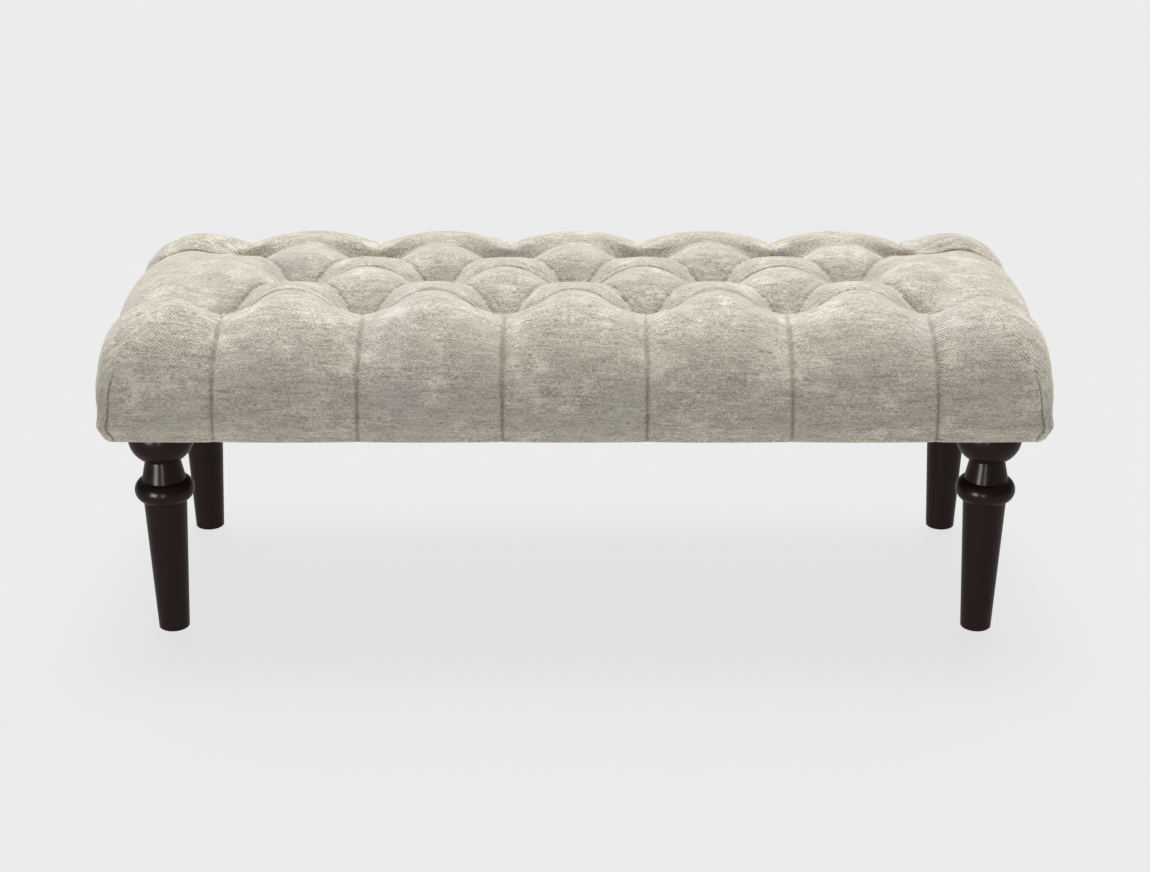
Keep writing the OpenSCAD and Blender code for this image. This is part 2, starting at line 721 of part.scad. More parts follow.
// Staples round the frame, a line's share of the rail's thickness in from its outer face
module staple_ring(line_share, z, leg) {
    line_x = frame_x - rail_t * line_share;
    line_y = frame_y - rail_t * line_share;
    count_x = floor(2 * rail_inner_y / staple_pitch);
    count_y = floor(2 * (frame_x - rail_t) / staple_pitch);
    for (side = [-1, 1]) {
        for (i = [0 : count_y - 1])
            translate([(i - (count_y - 1) / 2) * staple_pitch, side * line_y, z]) staple(leg);
        for (i = [0 : count_x - 1])
            translate([side * line_x, (i - (count_x - 1) / 2) * staple_pitch, z])
                rotate([0, 0, 90]) staple(leg);
    }
}

module cover_staples() {
    color(steel_color) staple_ring(staple_line_share, hem_z, cover_t + soft_gap + staple_leg);
}

// Black cambric under the seat, holed for the bolts
module dust_cover() {
    half_x = face_x - hem_tuck - dust_cover_inset;
    half_y = face_y - hem_tuck - dust_cover_inset;
    color([0.1, 0.1, 0.1]) difference() {
        translate([-half_x, -half_y, leg_h]) cube([2 * half_x, 2 * half_y, dust_cover_t]);
        at_corners() translate([0, 0, leg_h - overrun])
            cylinder(h = dust_cover_t + 2 * overrun, d = bolt_d + 2 * bore_fit);
    }
}

module dust_cover_staples() {
    color(steel_color)
        staple_ring(dust_staple_line_share, leg_h, frame_z - leg_h + staple_leg);
}

leg_front_left();
leg_front_right();
leg_back_left();
leg_back_right();
foot_glides();
hanger_bolts();
tee_nuts();
front_rail();
back_rail();
left_end_rail();
right_end_rail();
left_cross_rail();
right_cross_rail();
corner_block_front_left();
corner_block_front_right();
corner_block_back_left();
corner_block_back_right();
rail_screws();
block_screws();
deck_panel();
deck_screws();
seat_foam();
seat_batting();
seat_cover();
front_row_buttons();
middle_row_buttons();
back_row_buttons();
front_row_twines();
middle_row_twines();
back_row_twines();
twine_washers();
cover_staples();
dust_cover();
dust_cover_staples();
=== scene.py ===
# %% [markdown]
# # A button tufted footstool
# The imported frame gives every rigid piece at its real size. This script dresses it: the tufted
# woven cover with its pleats, the covered buttons, the turned and lacquered legs, and all that
# one sees when the footstool is turned over. Metres are used throughout, with X along the seat,
# Y from front to back and Z up.

import math

import bpy
import numpy as np
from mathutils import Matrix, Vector


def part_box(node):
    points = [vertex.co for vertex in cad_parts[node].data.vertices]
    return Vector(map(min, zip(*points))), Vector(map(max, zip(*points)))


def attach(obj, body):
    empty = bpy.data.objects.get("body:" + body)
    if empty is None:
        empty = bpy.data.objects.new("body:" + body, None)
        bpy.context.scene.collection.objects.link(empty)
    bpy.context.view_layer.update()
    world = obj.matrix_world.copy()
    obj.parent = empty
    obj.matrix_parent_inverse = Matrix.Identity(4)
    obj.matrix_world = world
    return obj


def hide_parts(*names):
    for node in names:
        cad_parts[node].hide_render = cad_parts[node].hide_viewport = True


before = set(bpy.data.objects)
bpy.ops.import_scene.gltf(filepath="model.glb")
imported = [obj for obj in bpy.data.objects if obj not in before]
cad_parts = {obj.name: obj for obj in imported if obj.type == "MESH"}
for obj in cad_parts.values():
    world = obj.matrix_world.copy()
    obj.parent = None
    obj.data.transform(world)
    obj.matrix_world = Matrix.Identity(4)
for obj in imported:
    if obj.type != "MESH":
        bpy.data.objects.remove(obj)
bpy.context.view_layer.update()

# %% [markdown]
# ## The camera
# The photograph was taken from straight in front, a little above the seat, with a long lens.
# One could move the camera by eye until the outlines meet. Here its focal length in pixels and
# its tilt were solved from the grid of pleats and the four feet, so nearer and farther pieces
# agree with the photograph as well.

# %% Camera
PHOTO_WIDTH_PX = 1150
FOCAL_PX = 2313
SENSOR_MM = 36
CAMERA_PLACE = (0, -2.855, 1.3635)
CAMERA_PITCH = math.radians(90 - 22.15)
FARTHEST_SEEN = 50

bpy.ops.object.camera_add(location=CAMERA_PLACE, rotation=(CAMERA_PITCH, 0, 0))
camera = bpy.context.object
camera.name = "camera"
camera.data.sensor_width = SENSOR_MM
camera.data.lens = FOCAL_PX * SENSOR_MM / PHOTO_WIDTH_PX
camera.data.clip_end = FARTHEST_SEEN
bpy.context.scene.camera = camera
print("lens", round(camera.data.lens, 1), "mm")

# %% [markdown]
# ## Where the buttons and pleats are
# The rows of buttons in the frame fix the whole pattern: every crease runs from one button to
# the next, and every pleat runs from a button of an outer row straight to the hem. Their places
# could be typed in, but then the cover would not follow the frame. So the sizes are read from
# the frame, and only what the frame doesn't hold is named here.

# %% Sizes of the tufting
front_low, front_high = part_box("front_row_buttons")
rail_low, rail_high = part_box("front_rail")
cover_low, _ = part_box("seat_cover")

BUTTON_R = (front_high[1] - front_low[1]) / 2
FIELD_X = front_high[0] - BUTTON_R
FIELD_Y = -front_low[1] - BUTTON_R
LONG_ROW = 6
PITCH = 2 * FIELD_X / (LONG_ROW - 1)

PADDING = 0.0116
COVER_THICKNESS = 0.002
SHOULDER_R = 0.088
FACE_X = rail_high[0] + PADDING
FACE_Y = -rail_low[1] + PADDING
HEM_Z = cover_low[2]
PLEAT_Z = 0.412
SHOULDER_X = FACE_X - SHOULDER_R
SHOULDER_Y = FACE_Y - SHOULDER_R
SHOULDER_Z = PLEAT_Z - SHOULDER_R


def row_places(count, y):
    return [((i - (count - 1) / 2) * PITCH, y) for i in range(count)]


ROWS = [row_places(LONG_ROW, -FIELD_Y), row_places(LONG_ROW - 1, 0), row_places(LONG_ROW, FIELD_Y)]
BUTTONS = np.array([place for row in ROWS for place in row])
print("buttons", len(BUTTONS), "pitch", round(PITCH, 4))

# %% [markdown]
# ## The height of the padding
# A button draws the cover down into a funnel, and between the buttons the filling pushes it up.
# A cloth simulation could blow such a pad up, but buttons and pleats settle its form, and the
# even mesh that a simulation needs would blunt the creases. So one formula gives the form: the
# rise at a place is a product with one factor for each button, and each factor is nought at its
# button and nears one within a hand's width, along a bell curve. Under a button the cover is
# pressed flat, so the funnel has a floor. The front row is stuffed a little fuller than the
# back one.

# %% Rise of the top over the pleats
TUFT_DEPTH = 0.0168
LOFT = 0.0484
HOLLOW_REACH = 0.05
HOLLOW_POWER = 1.8
FLOOR_RISE = -0.0143
FLOOR_BLEND = 0.0012
FRONT_LIFT = 0.0045
FRONT_LIFT_REACH = 0.025
BACK_DROP = 0.006
BACK_DROP_START_Y = -0.01


def button_distances(x, y):
    return np.hypot(x[:, None] - BUTTONS[None, :, 0], y[:, None] - BUTTONS[None, :, 1])


def top_rise(x, y):
    reach = (button_distances(x, y) / HOLLOW_REACH) ** HOLLOW_POWER
    hollow = np.prod(1 - np.exp(-reach), axis=1)
    lift = FRONT_LIFT * np.exp(-((y + FIELD_Y) / FRONT_LIFT_REACH) ** 2)
    back = np.clip((y - BACK_DROP_START_Y) / (FIELD_Y - BACK_DROP_START_Y), 0, 1)
    lift -= BACK_DROP * back * back * (3 - 2 * back)
    rise = (LOFT + lift) * hollow - TUFT_DEPTH
    above_floor = (rise - FLOOR_RISE) / FLOOR_BLEND
    return FLOOR_RISE + FLOOR_BLEND * np.logaddexp(0, above_floor)


print("crest", top_rise(np.array([0.0]), np.array([-FIELD_Y])), "m over the pleats")

# %% [markdown]
# ## A mesh that follows the folds
# A plain grid would cross the creases at a slant and show them as steps, or need millions of
# faces. Instead the top is covered with triangles from button to button, and each triangle is
# filled with a lattice of points that crowd towards its edges, where the creases are. So every
# fold lies on mesh edges and stays sharp with few faces.

# %% Lattice of one triangle
LATTICE = 40
CROWDING = 1.35


def crowd(t):
    return t ** CROWDING


def edge_shares(count=LATTICE):
    """Places along an edge from one button to the next, crowded towards both."""
    t = np.arange(count + 1) / count
    return crowd(t) / (crowd(t) + crowd(1 - t))


def lattice_weights():
    """Weights of the three corners for each point of a triangle, and its small triangles."""
    index = {}
    weights = []
    for i in range(LATTICE + 1):
        for j in range(LATTICE + 1 - i):
            index[i, j] = len(weights)
            parts = crowd(np.array([LATTICE - i - j, i, j]) / LATTICE)
            weights.append(parts / parts.sum())
    faces = []
    for i in range(LATTICE):
        for j in range(LATTICE - i):
            faces.append((index[i, j], index[i + 1, j], index[i, j + 1]))
            if i + j < LATTICE - 1:
                faces.append((index[i + 1, j], index[i + 1, j + 1], index[i, j + 1]))
    return np.array(weights), faces


WEIGHTS, LATTICE_FACES = lattice_weights()
print("points in a triangle", len(WEIGHTS), "faces", len(LATTICE_FACES))

# %% [markdown]
# The cover is gathered in one list of points, in which points of neighbouring triangles that
# fall together are kept once. Each point keeps the facts that the shaping needs later: its place
# in plan, the swell of its panel, and its distance to the nearest crease.
#
# The swell of a triangle is the product of a point's three shares in its corners. It is nought
# on the edges and a 27th in the middle, so it is scaled by 27. An edge without a deep crease
# isn't pulled down so far, and there the share that would be nought gets a least value.

# %% Triangles of the top
TOP, LONG_SIDE, END_SIDE, CORNER = range(4)
OPEN_EDGE = 1.0
SWELL_SCALE = 27
ROW_EDGE_SHARE = 0.022
END_EDGE_SHARE = 0.5


class Skin:
    """Points and faces of the cover, before they are shaped."""

    def __init__(self):
        self.keys = {}
        self.points = []
        self.faces = []

    def add(self, key, **facts):
        if key not in self.keys:
            self.keys[key] = len(self.points)
            self.points.append(facts)
        return self.keys[key]

    def column(self, name):
        return np.array([point[name] for point in self.points])


def plan_key(x, y):
    """A name for a place in plan, alike for points less than a micrometre apart."""
    return ("top", round(x * 1e6), round(y * 1e6))


def at_least(least, share):
    """A share from nought to one, squeezed into the range from least to one."""
    return least + (1 - least) * share


def panel_swell(shares):
    return min(1.0, SWELL_SCALE * math.prod(shares))


def add_triangle(skin, corners, open_side=None, row_side=None):
    """Fills a triangle whose corners run anticlockwise.

    open_side is the corner whose opposite edge has no crease, and row_side the one whose
    opposite edge is a shallow crease along an outer row.
    """
    corners = np.array(corners)
    area = abs(np.cross(corners[1] - corners[0], corners[2] - corners[0]))
    spans = [np.linalg.norm(corners[(i + 1) % 3] - corners[(i + 2) % 3]) for i in range(3)]
    places = WEIGHTS @ corners
    ids = []
    for place, weight in zip(places, WEIGHTS):
        gaps = [weight[i] * area / spans[i] for i in range(3)]
        shares = list(weight)
        if open_side is not None:
            gaps[open_side] = OPEN_EDGE
            shares[open_side] = at_least(END_EDGE_SHARE, shares[open_side])
        if row_side is not None:
            shares[row_side] = at_least(ROW_EDGE_SHARE, shares[row_side])
        ids.append(skin.add(
            plan_key(*place), x=place[0], y=place[1], side=TOP, run=0.0, way=0.0,
            swell=panel_swell(shares), crease=min(gaps), pleat=OPEN_EDGE, seam=OPEN_EDGE,
            full=0.0, endward=0.0,
        ))
    for face in LATTICE_FACES:
        skin.faces.append([ids[i] for i in face])


def add_top(skin):
    front, middle, back = ROWS
    for i in range(LONG_ROW - 1):
        add_triangle(skin, [front[i], front[i + 1], middle[i]], row_side=2)
        add_triangle(skin, [back[i + 1], back[i], middle[i]])
    for i in range(LONG_ROW - 2):
        add_triangle(skin, [middle[i + 1], middle[i], front[i + 1]])
        add_triangle(skin, [middle[i], middle[i + 1], back[i + 1]])
    add_triangle(skin, [middle[0], back[0], front[0]], open_side=0)
    add_triangle(skin, [middle[-1], front[-1], back[-1]], open_side=0)


cover_skin = Skin()
add_top(cover_skin)
print("top points", len(cover_skin.points), "faces", len(cover_skin.faces))

# %% [markdown]
# ## Rings from the top down to the hem
# Round the field of buttons the cover goes over a padded shoulder, straight down, in a little at
# the hem and under the rails. It could be an extruded box with a wide bevel, but then the pleats
# would not lie on its edges. So the profile is one list of rings, and spokes cross them: they
# start at the points on the edge of the top, and a fan of spokes starts at each corner button.

# %% Profile
FLAT_RINGS = 8
FLAT_CROWDING = 1.3
SHOULDER_RINGS = 25
SIDE_RINGS = 10
HEM_RINGS = 5
FLANGE_RINGS = 3
HEM_TUCK = 0.002
HEM_R = 0.004
TUCK_START_Z = 0.303
TUCK_CURVE = 1.6
FLANGE_OUT = 0.054


def profile():
    """Rings as (share from the field to the shoulder, distance out, height, angle, run)."""
    rings = []
    flat_y = SHOULDER_Y - FIELD_Y
    for i in range(1, FLAT_RINGS + 1):
        share = (i / FLAT_RINGS) ** FLAT_CROWDING
        rings.append((share, 0.0, PLEAT_Z, 0.0, share * flat_y))
    run = flat_y
    for i in range(1, SHOULDER_RINGS + 1):
        angle = math.pi / 2 * i / SHOULDER_RINGS
        rings.append((
            1.0, SHOULDER_R * math.sin(angle), SHOULDER_Z + SHOULDER_R * math.cos(angle),
            angle, run + SHOULDER_R * angle,
        ))
    run += SHOULDER_R * math.pi / 2
    low_z = HEM_Z + HEM_R
    for i in range(1, SIDE_RINGS + 1):
        z = SHOULDER_Z + (low_z - SHOULDER_Z) * i / SIDE_RINGS
        tuck = HEM_TUCK * max(0.0, (TUCK_START_Z - z) / (TUCK_START_Z - low_z)) ** TUCK_CURVE
        rings.append((1.0, SHOULDER_R - tuck, z, math.pi / 2, run + SHOULDER_Z - z))
    run += SHOULDER_Z - low_z
    out = SHOULDER_R - HEM_TUCK - HEM_R
    for i in range(1, HEM_RINGS + 1):
        angle = math.pi / 2 * i / HEM_RINGS
        rings.append((
            1.0, out + HEM_R * math.cos(angle), low_z - HEM_R * math.sin(angle),
            math.pi / 2 + angle, run + HEM_R * angle,
        ))
    run += HEM_R * math.pi / 2
    for i in range(1, FLANGE_RINGS + 1):
        step = (out - FLANGE_OUT) * i / FLANGE_RINGS
        rings.append((1.0, out - step, HEM_Z, math.pi, run + step))
    return rings


RINGS = profile()
print("rings", len(RINGS), "length", round(RINGS[-1][4], 3), "m")

# %% [markdown]
# Seen from above, a corner is wide and round at the shoulder and almost sharp at the hem, where
# the cloth is folded. So the radius depends on the run, the way along the profile from the top.
# A spoke in a corner is at a fixed share of the way round it. At the fold the spokes stand
# close together, because there the cloth turns in within a few millimetres.

# %% Corner rounding
CORNER_RUNS = [0, 0.07, 0.11, 0.145, 0.178, 0.218]
CORNER_RADII = [0.05, 0.058, 0.05, 0.034, 0.013, 0.006]
CORNER_ROOM = 0.62
CORNER_SPOKES = 34
SEAM_SHARE = 0.51
SEAM_STEPS = [0.0018, 0.004, 0.0075, 0.0125, 0.019]
SEAM_ROOM = 0.026


def corner_radius(half_x, half_y, run):
    wanted = np.interp(run, CORNER_RUNS, CORNER_RADII)
    return min(wanted, CORNER_ROOM * min(half_x - FIELD_X, half_y - FIELD_Y))


def corner_path(half_x, half_y, radius, share):
    """A place on the corner part of a ring, from over the front pleat round to the end one."""
    first = half_x - radius - FIELD_X
    arc = radius * math.pi / 2
    last = half_y - radius - FIELD_Y
    length = first + arc + last
    far = share * length
    if far <= first:
        return FIELD_X + far, half_y, far, length
    if far <= first + arc:
        turn = (far - first) / radius
        x = half_x - radius + radius * math.sin(turn)
        y = half_y - radius + radius * math.cos(turn)
        return x, y, far, length
    return half_x, half_y - radius - (far - first - arc), far, length


print("corner at the hem", corner_radius(FACE_X, FACE_Y, RINGS[-1][4]))

# %% [markdown]
# ## Spokes
# A spoke keeps its place along its side from the top to the hem, as the pleats do. Its `share`
# runs from nought at one pleat to one at the next, and tells how full the panel is there.

# %% Spokes
EDGE = edge_shares()


def spoke_from(side, x, y, sign_x, sign_y, share):
    return dict(side=side, x=x, y=y, sx=sign_x, sy=sign_y, share=share)


def side_spokes(row, sign_y):
    spokes = []
    for i in range(LONG_ROW - 1):
        for j in range(LATTICE + (i == LONG_ROW - 2)):
            x = row[i][0] + (row[i + 1][0] - row[i][0]) * EDGE[j]
            spokes.append(spoke_from(LONG_SIDE, x, sign_y * FIELD_Y, 1, sign_y, EDGE[j]))
    return spokes


def end_spokes(sign_x):
    return [
        spoke_from(END_SIDE, sign_x * FIELD_X, FIELD_Y * (2 * share - 1), sign_x, 1, share)
        for share in EDGE
    ]


def corner_spokes(sign_x, sign_y):
    near_seam = [SEAM_SHARE + sign * step for step in SEAM_STEPS for sign in (-1, 1)]
    apart = [s for s in edge_shares(CORNER_SPOKES)[1:-1] if abs(s - SEAM_SHARE) > SEAM_ROOM]
    shares = sorted(apart + near_seam + [SEAM_SHARE])
    return [
        spoke_from(CORNER, sign_x * FIELD_X, sign_y * FIELD_Y, sign_x, sign_y, share)
        for share in shares
    ]


SPOKES = (
    side_spokes(ROWS[0], -1) + corner_spokes(1, -1) + end_spokes(1)
    + corner_spokes(1, 1)[::-1] + side_spokes(ROWS[2], 1)[::-1]
    + corner_spokes(-1, 1) + end_spokes(-1)[::-1] + corner_spokes(-1, -1)[::-1]
)
print("spokes", len(SPOKES))

# %% [markdown]
# ## Fullness of the side panels
# Beside the front row the panels stand 27 mm proud of their pleats. Lower down the cover is
# pulled flat, so at the hem the same panel is only a millimetre proud. Sculpting each of the 14
# panels by hand would make them unlike each other. So the heights of crests and of pleats are
# two curves down the profile, and a panel's fullness, nought at its pleats and one in its
# middle, blends them. The ends have a curve of their own, because they bulge more.

# %% Rise of a side panel
CREST_ANGLES = [0, 0.1, 0.3, 0.5, 1.0, math.pi / 2]
CREST_RISES = [0.0305, 0.0305, 0.0275, 0.0232, 0.015, 0.0078]
HEM_CREST = 0.0032
PLEAT_ANGLES = [0, 0.15, 0.3, 0.5, 0.8, 1.2, math.pi / 2]
PLEAT_RISES = [0.0085, 0.0092, 0.0085, 0.0055, 0.0025, 0.003, 0.0046]
PLEAT_LEAST = 0.0012
FRONT_PLEAT_LIFT = -0.0048
BACK_PLEAT_LIFT = 0.0026
FULL_RUNS = [0, 0.02, 0.045, 0.072, 0.138]
FULL_POWERS = [1.8, 1.5, 0.8, 0.58, 0.36]
END_ANGLES = [0, 0.3, 0.6, 0.9, 1.2, math.pi / 2]
END_RISES = [0, 0.0045, 0.0095, 0.01, 0.002, -0.0015]
END_PLEAT_SHARE = 0.75
CORNER_FRONT_RUN = 0.066
CORNER_END_RUN = 0.023
BACK_CORNER_END_RUN = 0.034
CORNER_TOP_RUN = 0.036
BACK_CORNER_TOP_RUN = 0.054
BACK_CORNER_LOSS = 0.0035
PLEAT_BLEND_RUN = 0.014
CREST_BLEND_RUN = 0.044


def smooth(t):
    """A step from nought to one that starts and ends softly."""
    t = np.clip(t, 0, 1)
    return t * t * (3 - 2 * t)


def crest_rise(angle, z):
    if angle < math.pi / 2 - 1e-6:
        return np.interp(angle, CREST_ANGLES, CREST_RISES)
    down = np.clip((TUCK_START_Z - z) / (TUCK_START_Z - HEM_Z), 0, 1)
    return CREST_RISES[-1] + (HEM_CREST - CREST_RISES[-1]) * smooth(down)


def pleat_rise(angle, z):
    """Height of the pleats, always a little less than that of the panels."""
    return min(np.interp(angle, PLEAT_ANGLES, PLEAT_RISES), crest_rise(angle, z) - PLEAT_LEAST)


def quarter_wave(t):
    return math.sin(math.pi / 2 * min(1.0, t))


def fullness(spoke, way, gaps):
    """One at a panel's middle, nought at its pleats; gaps are the ways to them."""
    power = np.interp(way, FULL_RUNS, FULL_POWERS)
    if spoke["side"] == CORNER:
        reaches = (CORNER_FRONT_RUN, CORNER_END_RUN, CORNER_TOP_RUN)
        if spoke["sy"] > 0:
            reaches = (CORNER_FRONT_RUN, BACK_CORNER_END_RUN, BACK_CORNER_TOP_RUN)
        return math.prod(quarter_wave(g / reach) for g, reach in zip(gaps, reaches)) ** power
    return math.sin(math.pi * min(spoke["share"], 1 - spoke["share"])) ** power


def panel_rise(spoke, angle, z, full, endward):
    """How far a point of a panel stands out from the bare profile."""
    upward = max(0.0, math.cos(angle))
    rise = pleat_rise(angle, z) * (1 - full) + crest_rise(angle, z) * full
    rise += endward * np.interp(angle, END_ANGLES, END_RISES) * at_least(END_PLEAT_SHARE, full)
    pleat_lift = FRONT_PLEAT_LIFT if spoke["sy"] < 0 else BACK_PLEAT_LIFT
    rise += pleat_lift * (1 - full) * (1 - endward) * upward
    if spoke["side"] == CORNER and spoke["sy"] > 0:
        rise -= BACK_CORNER_LOSS * full * upward
    return rise


print("crest at the hem", crest_rise(math.pi / 2, HEM_Z), "pleat", pleat_rise(math.pi / 2, HEM_Z))

# %% [markdown]
# Where a spoke crosses a ring is one point of the cover. `run` is the way to it along the long
# side's profile and `run_x` along the end's, whose flat part has another length. `way` blends
# the two round a corner, by how far the spoke is turned towards the end.

# %% Points where spokes cross rings
def place_on_ring(spoke, half_x, half_y, radius, run):
    """Place in plan, ways to the pleats, way to the fold, and way round the corner."""
    share = spoke["share"]
    to_pleat = min(share, 1 - share)
    if spoke["side"] == LONG_SIDE:
        return spoke["x"], spoke["sy"] * half_y, (to_pleat * PITCH,), OPEN_EDGE, 0.0, 0.0
    if spoke["side"] == END_SIDE:
        return spoke["sx"] * half_x, spoke["y"], (to_pleat * 2 * FIELD_Y,), OPEN_EDGE, 0.0, 0.0
    x, y, far, length = corner_path(half_x, half_y, radius, share)
    seam = abs(share - SEAM_SHARE) * length
    return spoke["sx"] * x, spoke["sy"] * y, (far, length - far, run), seam, far, length - far


def ring_point(spoke, ring):
    """Facts of the point where a spoke crosses a ring."""
    flat_share, out, z, angle, run = ring
    flat_x, flat_y = (SHOULDER_X - FIELD_X) * flat_share, (SHOULDER_Y - FIELD_Y) * flat_share
    half_x, half_y = FIELD_X + flat_x + out, FIELD_Y + flat_y + out
    run_x = flat_x + run - flat_y
    radius = corner_radius(half_x, half_y, run)
    x, y, gaps, seam, far, rest = place_on_ring(spoke, half_x, half_y, radius, run)
    side, share = spoke["side"], spoke["share"]
    endward = {LONG_SIDE: 0.0, END_SIDE: 1.0, CORNER: float(smooth(share))}[side]
    way = run + (run_x - run) * endward
    full = fullness(spoke, way, gaps)
    row_edge = ROW_EDGE_SHARE if spoke["sy"] < 0 else 0.0
    edge_share = {LONG_SIDE: row_edge, END_SIDE: END_EDGE_SHARE, CORNER: 0.0}[side]
    blend_run = PLEAT_BLEND_RUN + (CREST_BLEND_RUN - PLEAT_BLEND_RUN) * full
    return dict(
        x=x, y=y, z=z, angle=angle, run=run, run_x=run_x, way=way, far=far, rest=rest,
        half_x=half_x, half_y=half_y, radius=radius, side=side, endward=endward, full=full,
        crease=OPEN_EDGE, pleat=min(gaps), seam=seam, weight=float(smooth(way / blend_run)),
        rise=panel_rise(spoke, angle, z, full, endward),
        swell=panel_swell((edge_share, share, 1 - share)),
    )


# %% Build the side points
def add_sides(skin):
    last = [skin.keys[plan_key(spoke["x"], spoke["y"])] for spoke in SPOKES]
    skin.rings = []
    for k, ring in enumerate(RINGS):
        current = []
        for s, spoke in enumerate(SPOKES):
            current.append(skin.add(("ring", k, s), spoke=s, **ring_point(spoke, ring)))
        for s in range(len(SPOKES)):
            t = (s + 1) % len(SPOKES)
            face = [last[s], current[s], current[t], last[t]]
            if face[0] == face[3]:
                face = face[:3]
            skin.faces.append(face)
        skin.rings.append(current)
        last = current


add_sides(cover_skin)
print("cover points", len(cover_skin.points), "faces", len(cover_skin.faces))

# %% [markdown]
# ## Shape of the cover
# The points get their height in two passes. The first puts them on the padding. The second moves
# them along the surface's own direction, for what the cloth does on it: creases, pleats,
# gathers round the buttons and the slack of a hand-pulled cover. With the two apart, the batting
# under the cover can be made from the first pass alone.

# %% First pass
PANEL_SWELL = 0.008
PANEL_POWER = 0.62
PLEAT_LEAN = 0.0135
LEAN_RISE_RUN = 0.03
LEAN_FADE_RUN = 0.15


def lean_pleats(skin, places):
    """Over the shoulder the pleats lean in a little to the middle of the seat."""
    run = skin.column("run")
    share = smooth(run / LEAN_RISE_RUN) * (1 - smooth((run - LEAN_RISE_RUN) / LEAN_FADE_RUN))
    share *= 1 - skin.column("endward")
    places[:, 0] -= PLEAT_LEAN * np.clip(places[:, 0], -FIELD_X, FIELD_X) * share
    return places


def plan_place(point, push):
    """Place in plan of a ring's point that is pushed outwards."""
    spoke = SPOKES[point["spoke"]]
    half_x, half_y = point["half_x"] + push, point["half_y"] + push
    if spoke["side"] == LONG_SIDE:
        return point["x"], spoke["sy"] * half_y
    if spoke["side"] == END_SIDE:
        return spoke["sx"] * half_x, point["y"]
    x, y, _, _ = corner_path(half_x, half_y, point["radius"], spoke["share"])
    return spoke["sx"] * x, spoke["sy"] * y


def shape_padding(skin):
    """Places of all the points on the padding."""
    x, y = skin.column("x"), skin.column("y")
    rise = top_rise(x, y) + PANEL_SWELL * skin.column("swell") ** PANEL_POWER
    places = np.column_stack([x, y, PLEAT_Z + rise])
    for i in np.nonzero(skin.column("side") != TOP)[0]:
        point = skin.points[i]
        push = (1 - point["weight"]) * rise[i] + point["weight"] * point["rise"]
        plan = plan_place(point, push * math.sin(point["angle"]))
        places[i] = (*plan, point["z"] + push * math.cos(point["angle"]))
    return lean_pleats(skin, places)


cover_places = shape_padding(cover_skin)
print("padding from", cover_places.min(axis=0), "to", cover_places.max(axis=0))

# %% Directions of the surface
def triangles_of(faces):
    rows = []
    for face in faces:
        rows.append(face[:3])
        if len(face) == 4:
            rows.append([face[0], face[2], face[3]])
    return np.array(rows)


def directions(places, triangles):
    a, b, c = (places[triangles[:, i]] for i in range(3))
    normals = np.cross(b - a, c - a)
    total = np.zeros_like(places)
    for i in range(3):
        np.add.at(total, triangles[:, i], normals)
    return total / np.maximum(np.linalg.norm(total, axis=1, keepdims=True), 1e-12)


cover_triangles = triangles_of(cover_skin.faces)
cover_directions = directions(cover_places, cover_triangles)
print("triangles", len(cover_triangles), "top faces up", cover_directions[:, 2].max() > 0.9)

# %% [markdown]
# ## What the cloth does
# - A crease is a narrow valley, a few millimetres deep between two buttons and deeper at them.
# - Beside it the cloth lies in one or two soft rolls, because it is longer than the padding.
# - Round a button it is gathered in small radial folds.
# - Everywhere it wanders by half a millimetre, as no cover is pulled quite evenly.
#
# Such detail could be a bump in the material, but a bump doesn't change an outline or cast a
# shadow. As every crease lies on mesh edges, moving the points is enough. The random draws come
# from one seeded generator, so each run gives the same cover.

# %% Creases, pleats and corner folds
NEAR_REACH = 0.026
CREASE_DEPTH = 0.0026
CREASE_NEAR_DEPTH = 0.0032
CREASE_WIDTH = 0.0042
ROW_CREASE_SHARE = 0.6
ROW_CREASE_MIDDLE = 0.06
ROW_CREASE_SPREAD = 1.6
PLEAT_DEPTH = 0.0036
PLEAT_WIDTH = 0.0017
PLEAT_START = 0.018
PLEAT_START_RUN = 0.03
PLEAT_START_SHARE = 0.2
SEAM_DEPTH = 0.0042
SEAM_WIDTH = 0.0014
SEAM_TOP_Z = 0.378
SEAM_FADE = 0.02


def row_creases(skin):
    """Ways to the creases along the outer rows, for the points of the long sides."""
    return np.where(skin.column("side") == LONG_SIDE, skin.column("run"), OPEN_EDGE)


def nearest_line(skin):
    """Ways to the nearest crease or pleat."""
    nearest = np.minimum(skin.column("crease"), skin.column("pleat"))
    return np.minimum(nearest, row_creases(skin))


def seam_share(places):
    """The corner folds start below the shoulder and are full two centimetres lower."""
    return smooth((SEAM_TOP_Z - places[:, 2]) / SEAM_FADE)


def sewn_lines(skin, places, distances):
    """How far the cloth is drawn in along creases, pleats and corner folds."""
    near = np.exp(-distances.min(axis=1) / NEAR_REACH)
    row_crease = row_creases(skin)
    crease = np.minimum(skin.column("crease"), row_crease)
    depth = CREASE_DEPTH + (CREASE_NEAR_DEPTH - CREASE_DEPTH) * near
    row_share = smooth(ROW_CREASE_SPREAD * near)
    row_share = ROW_CREASE_MIDDLE + (ROW_CREASE_SHARE - ROW_CREASE_MIDDLE) * row_share
    depth *= np.where(crease == row_crease, row_share, 1)
    valley = depth * np.exp(-crease / CREASE_WIDTH)
    start = smooth((skin.column("way") - PLEAT_START) / PLEAT_START_RUN)
    start = at_least(PLEAT_START_SHARE, start) * (skin.column("side") != TOP)
    groove = PLEAT_DEPTH * start * np.exp(-skin.column("pleat") / PLEAT_WIDTH)
    seam = SEAM_DEPTH * seam_share(places) * np.exp(-skin.column("seam") / SEAM_WIDTH)
    return np.maximum(valley, groove) + seam


